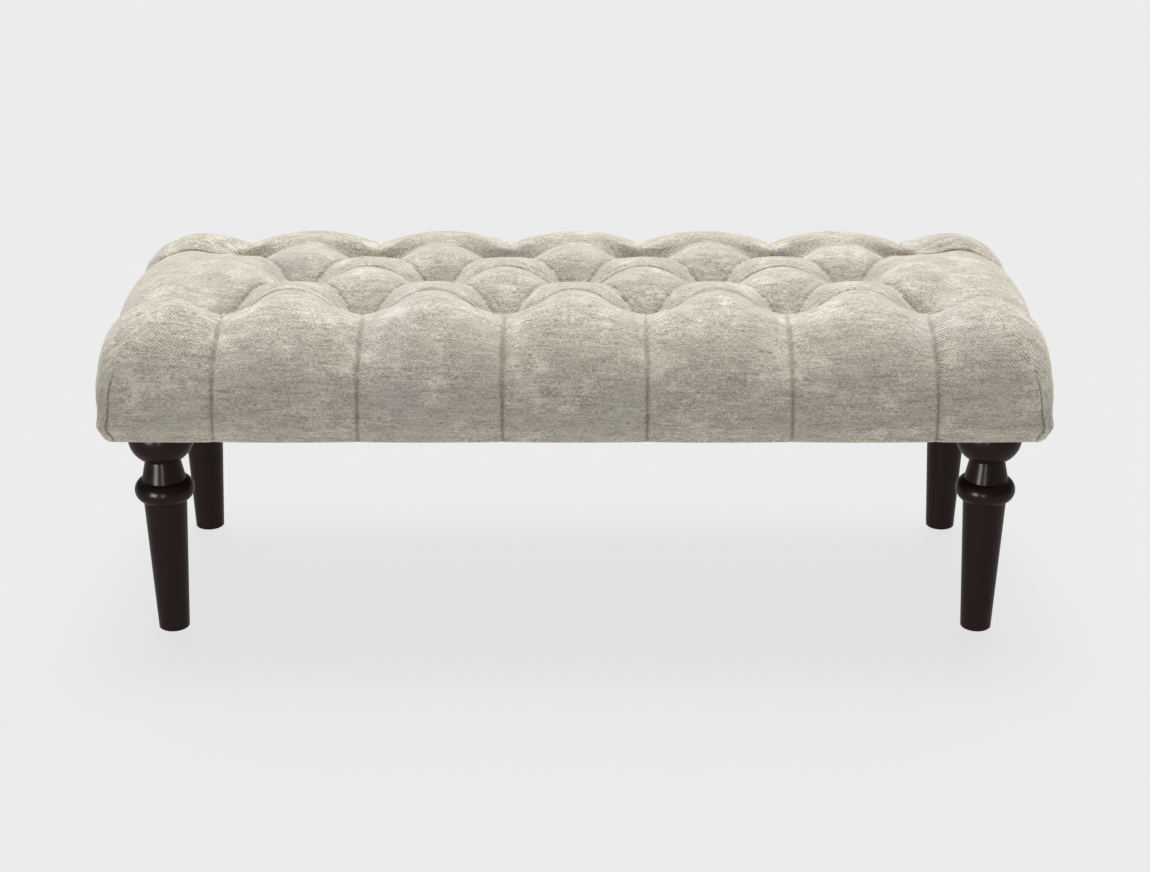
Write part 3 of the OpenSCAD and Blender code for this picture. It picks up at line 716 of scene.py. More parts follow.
button_ways = button_distances(cover_places[:, 0], cover_places[:, 1])
drawn_in = sewn_lines(cover_skin, cover_places, button_ways)
print("deepest line", round(float(drawn_in.max()), 4), "m")

# %% Puffs, rolls, gathers and slack
PUFF_RISE = 0.0014
PUFF_RUN = 0.017
PUFF_WIDTH = 0.011
ROLL_RISE = 0.00048
ROLL_STEP = 0.013
GATHER_RISE = 0.0011
GATHER_REACH = 0.016
GATHER_START = 0.008
GATHER_COUNTS = (9, 13, 17)
SLACK = 0.0006
SLACK_START = 0.02
WAVE_PEAK = 1.6

rng = np.random.default_rng(7)


def waves(places, count, shortest, longest):
    """A smooth random field, between about minus one and one."""
    total = np.zeros(len(places))
    for _ in range(count):
        length = rng.uniform(shortest, longest)
        direction = rng.normal(size=3)
        direction /= np.linalg.norm(direction)
        total += np.sin(places @ direction * 2 * math.pi / length + rng.uniform(0, 2 * math.pi))
    return total / math.sqrt(count / 2) / WAVE_PEAK


def puffs(skin):
    """The long sides' panels are blown up a little just outside the row of buttons."""
    puff = np.exp(-((skin.column("run") - PUFF_RUN) / PUFF_WIDTH) ** 2) * skin.column("full")
    return np.where(skin.column("side") == LONG_SIDE, PUFF_RISE * puff, 0)


def rolls(places, nearest):
    wander = waves(places, count=12, shortest=0.05, longest=0.12)
    roll = np.sin(nearest / ROLL_STEP * 2 * math.pi) * np.exp(-nearest / ROLL_STEP)
    return ROLL_RISE * roll * (1 + wander)


def gathers(places, distances):
    move = np.zeros(len(places))
    for button, way in zip(BUTTONS, distances.T):
        close = way < 6 * GATHER_REACH
        turn = np.arctan2(places[close, 1] - button[1], places[close, 0] - button[0])
        folds = np.zeros(close.sum())
        for count in GATHER_COUNTS:
            folds += rng.uniform(0.3, 0.7) * np.cos(count * turn + rng.uniform(0, 2 * math.pi))
        fade = np.exp(-way[close] / GATHER_REACH) * smooth(way[close] / GATHER_START)
        move[close] += GATHER_RISE * folds * fade
    return move


def slack(places, nearest):
    wander = waves(places, count=16, shortest=0.07, longest=0.19)
    return SLACK * wander * smooth(nearest / SLACK_START)


# %% Second pass
HEM_FADE = 0.005

line_ways = nearest_line(cover_skin)
cover_move = puffs(cover_skin) - drawn_in
cover_move += rolls(cover_places, line_ways)
cover_move += gathers(cover_places, button_ways)
cover_move += slack(cover_places, line_ways)
cover_move *= smooth((cover_places[:, 2] - HEM_Z) / HEM_FADE)

padding_places = cover_places
cover_places = padding_places + cover_directions * cover_move[:, None]
print("moved between", cover_move.min(), "and", cover_move.max())

# %% [markdown]
# Pleats and corner folds are tight tucks, where no light gets in. A mesh can't be folded that
# tight without very small faces. So the cover also gets a mask that is one in the tucks, and the
# finish later paints shade into the cloth there, a painted shade for the shadow in the folds.

# %% Mask of the painted shade in the tucks
TUCK_START = 0.008
TUCK_FADE = 0.014
TUCK_WIDTH = 0.0013


# Painted shade: the mask is one in the pleats and corner folds, where the cloth is later darkened.
def painted_tuck_shade_mask(skin, places):
    start = smooth((skin.column("way") - TUCK_START) / TUCK_FADE) * (skin.column("side") != TOP)
    pleat = start * np.exp(-(skin.column("pleat") / TUCK_WIDTH) ** 2)
    seam = seam_share(places) * np.exp(-(skin.column("seam") / TUCK_WIDTH) ** 2)
    return np.maximum(pleat, seam)


cover_painted_tuck_shade = painted_tuck_shade_mask(cover_skin, padding_places)
print("points in tucks", int((cover_painted_tuck_shade > 0.5).sum()))

# %% [markdown]
# ## The weave's own coordinates
# Unwrapping the finished mesh would stretch the weave at every hollow. But the rings and spokes
# already say where a point was in the flat cloth, so a UV map is filled with that, in metres.
# The cloth is one sheet, so its weave runs on unbroken over the front, the top and the back. On
# the ends the same sheet hangs down the other way. A corner belongs to the front or back sheet
# up to the fold, and to the end sheet beyond it.

# %% Places in the flat cloth
def weave_place(point, sheet):
    """Place of a point in the flat cloth, in the long sides' sheet or in the ends'."""
    if point["side"] == TOP:
        return point["x"], point["y"]
    in_corner = point["side"] == CORNER
    sign_x = math.copysign(1, point["x"])
    sign_y = math.copysign(1, point["y"])
    if sheet == LONG_SIDE:
        across = sign_x * (FIELD_X + point["far"]) if in_corner else point["x"]
        return across, sign_y * (FIELD_Y + point["run"])
    across = sign_y * (FIELD_Y + point["rest"]) if in_corner else point["y"]
    return sign_x * (FIELD_X + point["run_x"]), across


def face_sheet(points):
    """The sheet that a face belongs to; the top is part of the long sides' sheet."""
    sides = [point["side"] for point in points]
    if END_SIDE in sides:
        return END_SIDE
    if LONG_SIDE in sides or CORNER not in sides:
        return LONG_SIDE
    shares = [SPOKES[point["spoke"]]["share"] for point in points if point["side"] == CORNER]
    return LONG_SIDE if sum(shares) / len(shares) < SEAM_SHARE else END_SIDE


# %% Make the cover
def smooth_faces(piece):
    for polygon in piece.data.polygons:
        polygon.use_smooth = True


def make_mesh(name, places, faces):
    mesh = bpy.data.meshes.new(name)
    mesh.from_pydata([tuple(place) for place in places], [], faces)
    mesh.update()
    piece = bpy.data.objects.new(name, mesh)
    bpy.context.scene.collection.objects.link(piece)
    smooth_faces(piece)
    return piece


def lay_weave(piece, skin):
    layer = piece.data.uv_layers.new(name="weave")
    values = np.zeros((len(piece.data.loops), 2))
    for polygon in piece.data.polygons:
        points = [skin.points[vertex] for vertex in polygon.vertices]
        sheet = face_sheet(points)
        for loop, point in zip(polygon.loop_indices, points):
            values[loop] = weave_place(point, sheet)
    layer.data.foreach_set("uv", values.ravel())


cover = make_mesh("tufted_cover", cover_places, cover_skin.faces)
lay_weave(cover, cover_skin)
# The mask of painted shade in the pleats and corner folds is kept on the mesh.
painted_tuck_shade_layer = cover.data.attributes.new("tuck", "FLOAT", "POINT")
painted_tuck_shade_layer.data.foreach_set("value", cover_painted_tuck_shade)
print("cover", len(cover.data.vertices), "points")

# %% Give the cover its thickness
def only(piece):
    bpy.ops.object.select_all(action="DESELECT")
    piece.select_set(True)
    bpy.context.view_layer.objects.active = piece


def apply_modifier(piece, kind, name, **settings):
    only(piece)
    modifier = piece.modifiers.new(name, kind)
    for key, value in settings.items():
        setattr(modifier, key, value)
    bpy.ops.object.modifier_apply(modifier=modifier.name)


apply_modifier(cover, "SOLIDIFY", "thickness", thickness=COVER_THICKNESS, offset=-1)
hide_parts("seat_cover")
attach(cover, "root")
print("closed cover", len(cover.data.polygons), "faces")

# %% [markdown]
# ## The batting
# Under the cover lies a sheet of fibre batting, thick under the crests and pinched thin in the
# creases. A block with displacement could stand for it, but it must neither show through the
# cover nor leave it empty. So it takes the cover's own first pass, moved inwards.

# %% Make the batting
BATTING_GAP = 0.0048
BATTING_PINCHED = 0.0012
BATTING_LOFT = 0.006
BATTING_PINCH_REACH = 0.008
BATTING_SPREAD = 0.03
BATTING_END_Z = 0.306


def batting_faces(skin, places):
    """Faces of the cover above the line where the batting ends, and the points on that line."""
    kept = places[:, 2] >= BATTING_END_Z
    last = max(k for k, ring in enumerate(skin.rings) if all(kept[i] for i in ring))
    count = skin.rings[last][-1] + 1
    faces = [face for face in skin.faces if max(face) < count]
    return faces, skin.rings[last], count


def make_batting(skin, places):
    faces, rim, count = batting_faces(skin, places)
    inward = -cover_directions[:count]
    nearest = nearest_line(skin)[:count]
    near = np.exp(-nearest / BATTING_PINCH_REACH)
    plump = 1 - np.exp(-nearest / BATTING_SPREAD)
    thickness = BATTING_PINCHED + (BATTING_LOFT - BATTING_PINCHED) * plump
    outer = places[:count] + inward * (BATTING_GAP + CREASE_NEAR_DEPTH * near)[:, None]
    inner = outer + inward * thickness[:, None]
    walls = [
        [rim[i - 1], rim[i - 1] + count, rim[i] + count, rim[i]] for i in range(len(rim))
    ]
    backs = [[i + count for i in face[::-1]] for face in faces]
    return make_mesh("fibre_batting", np.vstack([outer, inner]), faces + backs + walls)


batting = make_batting(cover_skin, padding_places)
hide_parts("seat_batting")
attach(batting, "root")
print("batting", len(batting.data.polygons), "faces")

# %% [markdown]
# ## The foam
# The foam is one thick block with a well cut under every button. It could be modelled again with
# boolean cuts, but the frame already has that shape, so a copy of its mesh is taken. Its loose
# triangles are joined first, and then its edges are worn round, because foam has no sharp ones.

# %% Make the foam
FOAM_EDGE_R = 0.002
FOAM_EDGE_DEGREES = 35


def copy_node(node, name):
    """A copy of a frame piece with a mesh of its own, its points joined."""
    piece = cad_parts[node].copy()
    piece.data = piece.data.copy()
    piece.name = name
    bpy.context.scene.collection.objects.link(piece)
    only(piece)
    bpy.ops.object.mode_set(mode="EDIT")
    bpy.ops.mesh.select_all(action="SELECT")
    bpy.ops.mesh.remove_doubles(threshold=0.00001)
    bpy.ops.object.mode_set(mode="OBJECT")
    return piece


foam = copy_node("seat_foam", "foam_block")
apply_modifier(
    foam, "BEVEL", "worn edges", width=FOAM_EDGE_R, segments=3, limit_method="ANGLE",
    angle_limit=math.radians(FOAM_EDGE_DEGREES),
)
bpy.ops.object.shade_smooth_by_angle(angle=math.radians(40))
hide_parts("seat_foam")
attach(foam, "root")
print("foam", len(foam.data.polygons), "faces")

# %% [markdown]
# ## The woven finish
# The cloth is a heavy twill of mixed grey and cream yarns. From a step away it shows clouds of
# cream and taupe with short streaks along the weft; from near, the fine diagonal of the twill.
# A picture of cloth would repeat and blur, so the pattern is made of nodes: a sine wave for the
# ribs, and noise drawn out along the yarns. These read the cloth's own coordinates, so they
# follow the folds. Only the soft clouds read the place in space, which hides the sheet's edges.

# %% Helpers for node trees
def group(name, inputs, outputs):
    """A new node group with its named sockets, and its input and output nodes."""
    tree = bpy.data.node_groups.new(name, "ShaderNodeTree")
    for label, kind, value in inputs:
        socket = tree.interface.new_socket(label, in_out="INPUT", socket_type=kind)
        if value is not None:
            socket.default_value = value
    for label, kind in outputs:
        tree.interface.new_socket(label, in_out="OUTPUT", socket_type=kind)
    return tree, tree.nodes.new("NodeGroupInput"), tree.nodes.new("NodeGroupOutput")


def add_node(tree, kind, inputs=None, **settings):
    """A node with its settings, and with its inputs set to values or linked to sockets."""
    node = tree.nodes.new(kind)
    for key, value in settings.items():
        setattr(node, key, value)
    for key, value in (inputs or {}).items():
        if isinstance(value, bpy.types.NodeSocket):
            tree.links.new(value, node.inputs[key])
        else:
            node.inputs[key].default_value = value
    return node


def maths(tree, operation, a, b=0.0):
    return add_node(tree, "ShaderNodeMath", {0: a, 1: b}, operation=operation).outputs[0]


def blend_colors(tree, share, a, b):
    node = add_node(tree, "ShaderNodeMix", {"Factor": share, 6: a, 7: b}, data_type="RGBA")
    return node.outputs[2]


def noise(tree, vector, scale, detail=2.0, rough=0.5):
    node = add_node(
        tree, "ShaderNodeTexNoise",
        {"Vector": vector, "Scale": scale, "Detail": detail, "Roughness": rough},
    )
    return node.outputs["Fac"]


def stretch(tree, vector, size):
    return add_node(tree, "ShaderNodeMapping", {"Vector": vector, "Scale": size}).outputs[0]


def turned(tree, vector, angles):
    node = add_node(tree, "ShaderNodeMapping", {"Vector": vector, "Rotation": angles})
    return node.outputs[0]


def spread(tree, value, low, high, to_low=0.0, to_high=1.0):
    node = add_node(
        tree, "ShaderNodeMapRange",
        {"Value": value, "From Min": low, "From Max": high, "To Min": to_low, "To Max": to_high},
    )
    return node.outputs[0]


def new_material(name):
    material = bpy.data.materials.new(name)
    material.use_nodes = True
    tree = material.node_tree
    return material, tree, tree.nodes["Principled BSDF"]


def add_bump(tree, shader, strength, relief, height):
    """Feeds a height to the shader's normal, as a relief given in metres."""
    values = {"Strength": strength, "Distance": relief, "Height": height}
    bump = add_node(tree, "ShaderNodeBump", values)
    tree.links.new(bump.outputs[0], shader.inputs["Normal"])


def set_inputs(shader, values):
    for label, value in values.items():
        shader.inputs[label].default_value = value


print("helpers ready")

# %% Twill group
TWILL_STEP = 0.0027
JITTER_SCALE = 300.0
NOISE_LOW, NOISE_HIGH = 0.3, 0.7

# Each mask is a noise: what it reads, its cells per metre in X, Y and Z, detail and roughness.
TWILL_MASKS = {
    "weft": ("Weave", (190, 620, 1), 2.0, 0.6),
    "warp": ("Weave", (620, 210, 1), 2.0, 0.6),
    "streaks": ("Weave", (38, 330, 1), 3.0, 0.6),
    "slubs": ("Weave", (20, 110, 1), 3.0, 0.55),
    "blotches": ("Place", (50, 58, 66), 5.0, 0.72),
    "clouds": ("Place", (17, 21, 24), 6.0, 0.68),
    "tint": ("Place", (7, 8, 9), 2.0, 0.5),
}
RIB_LIGHT = 0.26
RIB_HEIGHT = 0.5
LIGHT_REACHES = {"weft": 0.4, "warp": 0.3, "streaks": 0.26, "slubs": 0.18, "blotches": 0.18}
FRAY_REACHES = {"weft": 0.05, "warp": 0.04, "streaks": 0.04, "blotches": 0.06}
HEIGHT_REACHES = {"weft": 0.5, "warp": 0.5, "streaks": 0.4}
CREAM_LOW, CREAM_HIGH = 0.52, 0.74


def level(tree, mask, reach):
    """A noise mask stretched to run from minus its reach to its reach."""
    return spread(tree, mask, NOISE_LOW, NOISE_HIGH, -reach, reach)


def add_masks(tree, base, masks, reaches):
    for name, reach in reaches.items():
        base = maths(tree, "ADD", base, level(tree, masks[name], reach))
    return base


def make_twill_group():
    tree, source, target = group(
        "twill",
        [("Weave", "NodeSocketVector", None), ("Place", "NodeSocketVector", None)],
        [("Light", "NodeSocketFloat"), ("Cream", "NodeSocketFloat"), ("Tint", "NodeSocketFloat"),
         ("Height", "NodeSocketFloat")],
    )
    weave = source.outputs["Weave"]
    parts = add_node(tree, "ShaderNodeSeparateXYZ", {0: weave})
    across = maths(tree, "ADD", parts.outputs[0], parts.outputs[1])
    jitter = maths(tree, "MULTIPLY", noise(tree, weave, JITTER_SCALE), TWILL_STEP)
    turn = 2 * math.pi / (TWILL_STEP * math.sqrt(2))
    ribs = maths(tree, "SINE", maths(tree, "MULTIPLY", maths(tree, "ADD", across, jitter), turn))
    masks = {
        name: noise(tree, stretch(tree, source.outputs[reads], size), 1.0, detail, rough)
        for name, (reads, size, detail, rough) in TWILL_MASKS.items()
    }
    light = add_masks(tree, maths(tree, "MULTIPLY", ribs, RIB_LIGHT), masks, LIGHT_REACHES)
    fray = add_masks(tree, masks["clouds"], masks, FRAY_REACHES)
    height = add_masks(tree, maths(tree, "MULTIPLY", ribs, RIB_HEIGHT), masks, HEIGHT_REACHES)
    results = {
        "Light": spread(tree, light, -1.0, 1.0),
        "Cream": spread(tree, fray, CREAM_LOW, CREAM_HIGH),
        "Tint": masks["tint"],
        "Height": height,
    }
    for label, socket in results.items():
        tree.links.new(socket, target.inputs[label])
    return tree


TWILL = make_twill_group()
print("twill group", len(TWILL.nodes), "nodes")

# %% [markdown]
# The yarns' colours are mixed by the group's masks: dark and light yarns make the ground, cream
# clouds lie over it, and a trace of lilac and of green keeps the grey from looking flat. Each
# tint has the values of its mask where it starts and is full, and its share there. Last comes
# painted shade in the tucks, a darker colour where the mesh's mask marks the pleats and folds.
# Sheen gives the pale rim that fuzzy cloth has against the light.

# %% Cover cloth
YARN_DARK = (0.125, 0.111, 0.089, 1)
YARN_LIGHT = (0.645, 0.594, 0.5, 1)
YARN_CREAM = (0.78, 0.735, 0.63, 1)
CREAM_SHARE = 0.5
YARN_LILAC = (0.4, 0.36, 0.355, 1)
YARN_GREEN = (0.36, 0.362, 0.295, 1)
YARN_TINTS = [(YARN_LILAC, 0.52, 0.7, 0.3), (YARN_GREEN, 0.48, 0.3, 0.25)]
# Painted shade: the dark colour laid into the pleats and corner folds, and how much of it is mixed
# in.
PAINTED_TUCK_SHADE = (0.1, 0.09, 0.074, 1)
PAINTED_TUCK_SHADE_SHARE = 0.42
WEAVE_RELIEF = 0.0006


def cloth_material(name):
    material, tree, shader = new_material(name)
    coords = add_node(tree, "ShaderNodeTexCoord")
    weave = add_node(tree, "ShaderNodeUVMap", uv_map="weave")
    twill = add_node(tree, "ShaderNodeGroup", node_tree=TWILL)
    tree.links.new(weave.outputs[0], twill.inputs["Weave"])
    tree.links.new(coords.outputs["Object"], twill.inputs["Place"])
    color = blend_colors(tree, twill.outputs["Light"], YARN_DARK, YARN_LIGHT)
    cream = maths(tree, "MULTIPLY", twill.outputs["Cream"], CREAM_SHARE)
    color = blend_colors(tree, cream, color, YARN_CREAM)
    for tint, first, last, most in YARN_TINTS:
        share = spread(tree, twill.outputs["Tint"], first, last, 0, most)
        color = blend_colors(tree, share, color, tint)
    # Painted shade in the tucks: the cloth is darkened where the mesh's mask is one.
    tuck = add_node(tree, "ShaderNodeAttribute", attribute_name="tuck")
    painted_shade_share = maths(tree, "MULTIPLY", tuck.outputs["Fac"], PAINTED_TUCK_SHADE_SHARE)
    color = blend_colors(tree, painted_shade_share, color, PAINTED_TUCK_SHADE)
    tree.links.new(color, shader.inputs["Base Color"])
    add_bump(tree, shader, 0.5, WEAVE_RELIEF, twill.outputs["Height"])
    set_inputs(shader, {
        "Roughness": 0.9, "Specular IOR Level": 0.2, "Sheen Weight": 0.45,
        "Sheen Roughness": 0.4, "Sheen Tint": (1, 0.96, 0.88, 1),
    })
    return material


cover_cloth = cloth_material("cover cloth")
cover.data.materials.append(cover_cloth)
print("cloth on", cover.name)

# %% [markdown]
# ## Covered buttons
# A covered button is a thin metal shell with a disc of the seat's cloth drawn over it and tucked
# behind in small gathers, and a wire eye at the back for the twine. It could be spun from an
# outline, but a sphere already has the closed round form. It is flattened, its lower half more
# than its dome, and every second line of the lower half is drawn in for the gathers. One button
# is modelled, and the rows are copies of it.

# %% Model one button
DOME_H = 0.0024
RIM_H = 0.0016
BUTTON_SEGMENTS = 56
BUTTON_RINGS = 20
GATHER_SHARE = 0.955
GATHER_FLATNESS = 0.8
GATHER_INNER_SHARE = 0.3
GATHER_TOP_Z = -0.00005
EYE_R = 0.0022
EYE_WIRE_R = 0.0007
EYE_DROP_SHARE = 0.8
NEARLY_NOUGHT = 0.00001
BUTTON_Z = front_high[2] - DOME_H - RIM_H


def edit(piece):
    only(piece)
    bpy.ops.object.mode_set(mode="EDIT")
    bpy.ops.mesh.select_all(action="DESELECT")


def pick_points(piece, wanted):
    """Selects the points for which wanted is true, and leaves the rest unselected."""
    bpy.ops.object.mode_set(mode="OBJECT")
    for kind in (piece.data.vertices, piece.data.edges, piece.data.polygons):
        kind.foreach_set("select", [False] * len(kind))
    for point in piece.data.vertices:
        point.select = bool(wanted(point.co))
    count = sum(point.select for point in piece.data.vertices)
    bpy.ops.object.mode_set(mode="EDIT")
    return count


def model_button():
    bpy.ops.object.select_all(action="DESELECT")
    bpy.ops.mesh.primitive_uv_sphere_add(
        segments=BUTTON_SEGMENTS, ring_count=BUTTON_RINGS, radius=BUTTON_R, location=(0, 0, 0)
    )
    shell = bpy.context.object
    edit(shell)
    bpy.ops.mesh.select_mode(type="VERT")
    center = dict(center_override=(0, 0, 0))
    pick_points(shell, lambda co: co.z > NEARLY_NOUGHT)
    bpy.ops.transform.resize(value=(1, 1, DOME_H / BUTTON_R), **center)
    pick_points(shell, lambda co: co.z < -NEARLY_NOUGHT)
    bpy.ops.transform.resize(value=(1, 1, RIM_H / BUTTON_R), **center)

    def in_gather(co):
        turn = math.degrees(math.atan2(co.y, co.x)) / (360 / BUTTON_SEGMENTS)
        outside = math.hypot(co.x, co.y) > GATHER_INNER_SHARE * BUTTON_R
        return round(turn) % 2 == 0 and co.z < GATHER_TOP_Z and outside

    drawn_points = pick_points(shell, in_gather)
    bpy.ops.transform.resize(value=(GATHER_SHARE, GATHER_SHARE, GATHER_FLATNESS), **center)
    bpy.ops.object.mode_set(mode="OBJECT")
    bpy.ops.mesh.primitive_torus_add(
        major_radius=EYE_R, minor_radius=EYE_WIRE_R, major_segments=28, minor_segments=10,
        location=(0, 0, -RIM_H - EYE_R * EYE_DROP_SHARE), rotation=(math.pi / 2, 0, 0),
    )
    eye = bpy.context.object
    print("points drawn in", drawn_points)
    return shell, eye


button_shell, button_eye = model_button()

# %% Finish of the button
def lay_plan_weave(piece):
    """The weave as it lies when the cloth is seen from above."""
    layer = piece.data.uv_layers.get("weave") or piece.data.uv_layers.new(name="weave")
    for loop in piece.data.loops:
        layer.data[loop.index].uv = piece.data.vertices[loop.vertex_index].co.xy


def steel_material():
    material, tree, shader = new_material("bright zinc")
    place = add_node(tree, "ShaderNodeTexCoord").outputs["Object"]
    flakes = noise(tree, place, 900.0, 3.0, 0.6)
    stain = noise(tree, place, 90.0, 3.0, 0.5)
    color = blend_colors(tree, stain, (0.6, 0.61, 0.63, 1), (0.78, 0.78, 0.76, 1))
    tree.links.new(color, shader.inputs["Base Color"])
    roughness = spread(tree, flakes, NOISE_LOW, NOISE_HIGH, 0.24, 0.42)
    tree.links.new(roughness, shader.inputs["Roughness"])
    shader.inputs["Metallic"].default_value = 1.0
    return material


steel = steel_material()


def join_pieces(pieces, name):
    """Joins pieces into the first one, which takes in their places and turns."""
    bpy.ops.object.select_all(action="DESELECT")
    for piece in pieces:
        piece.select_set(True)
    bpy.context.view_layer.objects.active = pieces[0]
    bpy.ops.object.transform_apply(location=True, rotation=True, scale=True)
    bpy.ops.object.join()
    pieces[0].name = name
    return pieces[0]


for piece, material in ((button_shell, cover_cloth), (button_eye, steel)):
    piece.data.materials.append(material)
    smooth_faces(piece)
one_button = join_pieces([button_shell, button_eye], "covered_button")
print("button faces", len(one_button.data.polygons))

# %% Copy the button into its rows
def button_row(name, node, places):
    copies = []
    for x, y in places:
        copy = one_button.copy()
        copy.data = one_button.data.copy()
        bpy.context.scene.collection.objects.link(copy)
        copy.location = (x, y, BUTTON_Z)
        copies.append(copy)
    row = join_pieces(copies, name)
    lay_plan_weave(row)
    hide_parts(node)
    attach(row, "root")
    return row


button_rows = [
    button_row("covered_buttons_front", "front_row_buttons", ROWS[0]),
    button_row("covered_buttons_middle", "middle_row_buttons", ROWS[1]),
    button_row("covered_buttons_back", "back_row_buttons", ROWS[2]),
]
bpy.data.objects.remove(one_button)
print("rows", [len(row.data.polygons) for row in button_rows])

# %% [markdown]
# ## The dust cover
# Upholsterers close the underside with thin black cloth. Its edge is folded in and stapled, so
# only a fold shows at the rim, and between the staples it hangs a little. A simulation could
# let it sag, but stretched cloth hangs only two millimetres, which a formula gives as well. A
# grid gives the cloth, its border is extruded outwards and back for the fold, the sag is set in
# code, and the bolts of the legs go through round holes.

# %% Make the dust cover
dust_low, dust_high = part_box("dust_cover")
leg_low, leg_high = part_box("leg_front_left")
LEG_X = -(leg_low[0] + leg_high[0]) / 2
LEG_Y = -(leg_low[1] + leg_high[1]) / 2
DUST_FOLD = 0.012
DUST_CLOTH = 0.0003
DUST_INSET = 0.0003
DUST_LIFT = 0.00002
DUST_CELLS = (150, 54)
FOLD_STEPS = [(0.0002, 0.00018), (0.0, 0.0002), (-0.0002, 0.00004), (-DUST_FOLD, 0)]


def make_dust_cover():
    """A grid with a folded border; each fold step goes out and up."""
    half_x, half_y = dust_high[0] - DUST_INSET, dust_high[1] - DUST_INSET
    bpy.ops.object.select_all(action="DESELECT")
    bpy.ops.mesh.primitive_grid_add(
        x_subdivisions=DUST_CELLS[0], y_subdivisions=DUST_CELLS[1], size=2, location=(0, 0, 0)
    )
    sheet = bpy.context.object
    sheet.name = "black_dust_cover"
    low = dust_low[2] + DUST_CLOTH / 2 + DUST_LIFT
    edit(sheet)
    bpy.ops.mesh.select_mode(type="VERT")
    bpy.ops.mesh.select_all(action="SELECT")
    center = dict(center_override=(0, 0, 0))
    bpy.ops.transform.resize(value=(half_x, half_y, 1), **center)
    bpy.ops.transform.translate(value=(0, 0, low))
    bpy.ops.mesh.select_mode(type="EDGE")
    bpy.ops.mesh.select_all(action="SELECT")
    bpy.ops.mesh.region_to_loop()
    for out, up in FOLD_STEPS:
        bpy.ops.mesh.extrude_edges_move(TRANSFORM_OT_translate={"value": (0, 0, up)})
        scale = ((half_x + out) / half_x, (half_y + out) / half_y, 1)
        bpy.ops.transform.resize(value=scale, **center)
        half_x, half_y = half_x + out, half_y + out
    bpy.ops.object.mode_set(mode="OBJECT")
    return sheet


dust_cover = make_dust_cover()
print("dust cover", len(dust_cover.data.polygons), "faces")

# %% Sag between the staples and round the legs
DUST_SAG = 0.002
DUST_SAG_RUN = 0.12
DUST_FREE = 0.035
LEG_CLEAR = 0.05
LEG_SAG_RUN = 0.08
RIPPLE_SHARE = 0.25
IN_PLANE = (1, 1, 0)


def sag_dust_cover(sheet):
    low = min(point.co.z for point in sheet.data.vertices)
    inner_x, inner_y = dust_high[0] - DUST_FREE, dust_high[1] - DUST_FREE
    places = np.array([tuple(point.co) for point in sheet.data.vertices])
    ripple = waves(places * IN_PLANE, count=14, shortest=0.03, longest=0.09)
    for point, wave in zip(sheet.data.vertices, ripple):
        x, y, z = point.co
        edge = min(inner_x - abs(x), inner_y - abs(y))
        leg = math.hypot(abs(x) - LEG_X, abs(y) - LEG_Y) - LEG_CLEAR
        if z - low < DUST_CLOTH / 3 and edge > 0 and leg > 0:
            hang = float(smooth(edge / DUST_SAG_RUN)) * float(smooth(leg / LEG_SAG_RUN))
            point.co.z = z - DUST_SAG * hang * (1 + RIPPLE_SHARE * wave)


sag_dust_cover(dust_cover)
print("lowest point", round(min(point.co.z for point in dust_cover.data.vertices), 4))

# %% Thickness and bolt holes
DUST_BOLT_R = 0.0052
DRILL_LENGTH = 0.02


def cut_bolt_holes(sheet):
    drills = []
    for sign_x in (-1, 1):
        for sign_y in (-1, 1):
            bpy.ops.object.select_all(action="DESELECT")
            bpy.ops.mesh.primitive_cylinder_add(
                vertices=32, radius=DUST_BOLT_R, depth=DRILL_LENGTH,
                location=(sign_x * LEG_X, sign_y * LEG_Y, dust_low[2]),
            )
            drills.append(bpy.context.object)
    for drill in drills:
        apply_modifier(sheet, "BOOLEAN", "bolt hole", object=drill, operation="DIFFERENCE")
        bpy.data.objects.remove(drill)


apply_modifier(
    dust_cover, "SOLIDIFY", "thickness", thickness=DUST_CLOTH, offset=0,
    use_even_offset=True,
)
cut_bolt_holes(dust_cover)
bpy.ops.object.shade_smooth_by_angle(angle=math.radians(50))
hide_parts("dust_cover")
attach(dust_cover, "root")
print("closed dust cover", len(dust_cover.data.polygons), "faces")

# %% [markdown]
# The cambric is a felt of black fibres, pressed with small dimples. Noise drawn out one way
# gives the fibres, and the cells of a Voronoi texture give the dimples.

# %% Cambric
def cambric_material():
    material, tree, shader = new_material("black cambric")
    place = add_node(tree, "ShaderNodeTexCoord").outputs["Object"]
    fibres = noise(tree, stretch(tree, place, (1500, 300, 1)), 1.0, 3.0, 0.7)
    cells = add_node(tree, "ShaderNodeTexVoronoi", {"Vector": place, "Scale": 700.0})
    dimple = spread(tree, cells.outputs["Distance"], 0.1, 0.5)
    color = blend_colors(tree, fibres, (0.008, 0.008, 0.009, 1), (0.024, 0.024, 0.026, 1))
    tree.links.new(color, shader.inputs["Base Color"])
    height = maths(tree, "ADD", dimple, fibres)
    add_bump(tree, shader, 0.4, 0.0002, height)
    set_inputs(shader, {"Roughness": 0.85, "Specular IOR Level": 0.25})
    return material


dust_cover.data.materials.clear()
dust_cover.data.materials.append(cambric_material())
print("cambric on", dust_cover.name)

# %% [markdown]
# ## Wood
# Wood shows fine pores drawn out along the grain, and broad bands of early and late wood. Each
# piece could have its own nodes, but one group serves all: it gives only masks, and each wood
# mixes its own colours from them. Its grain runs along X, and each wood turns it to its pieces.

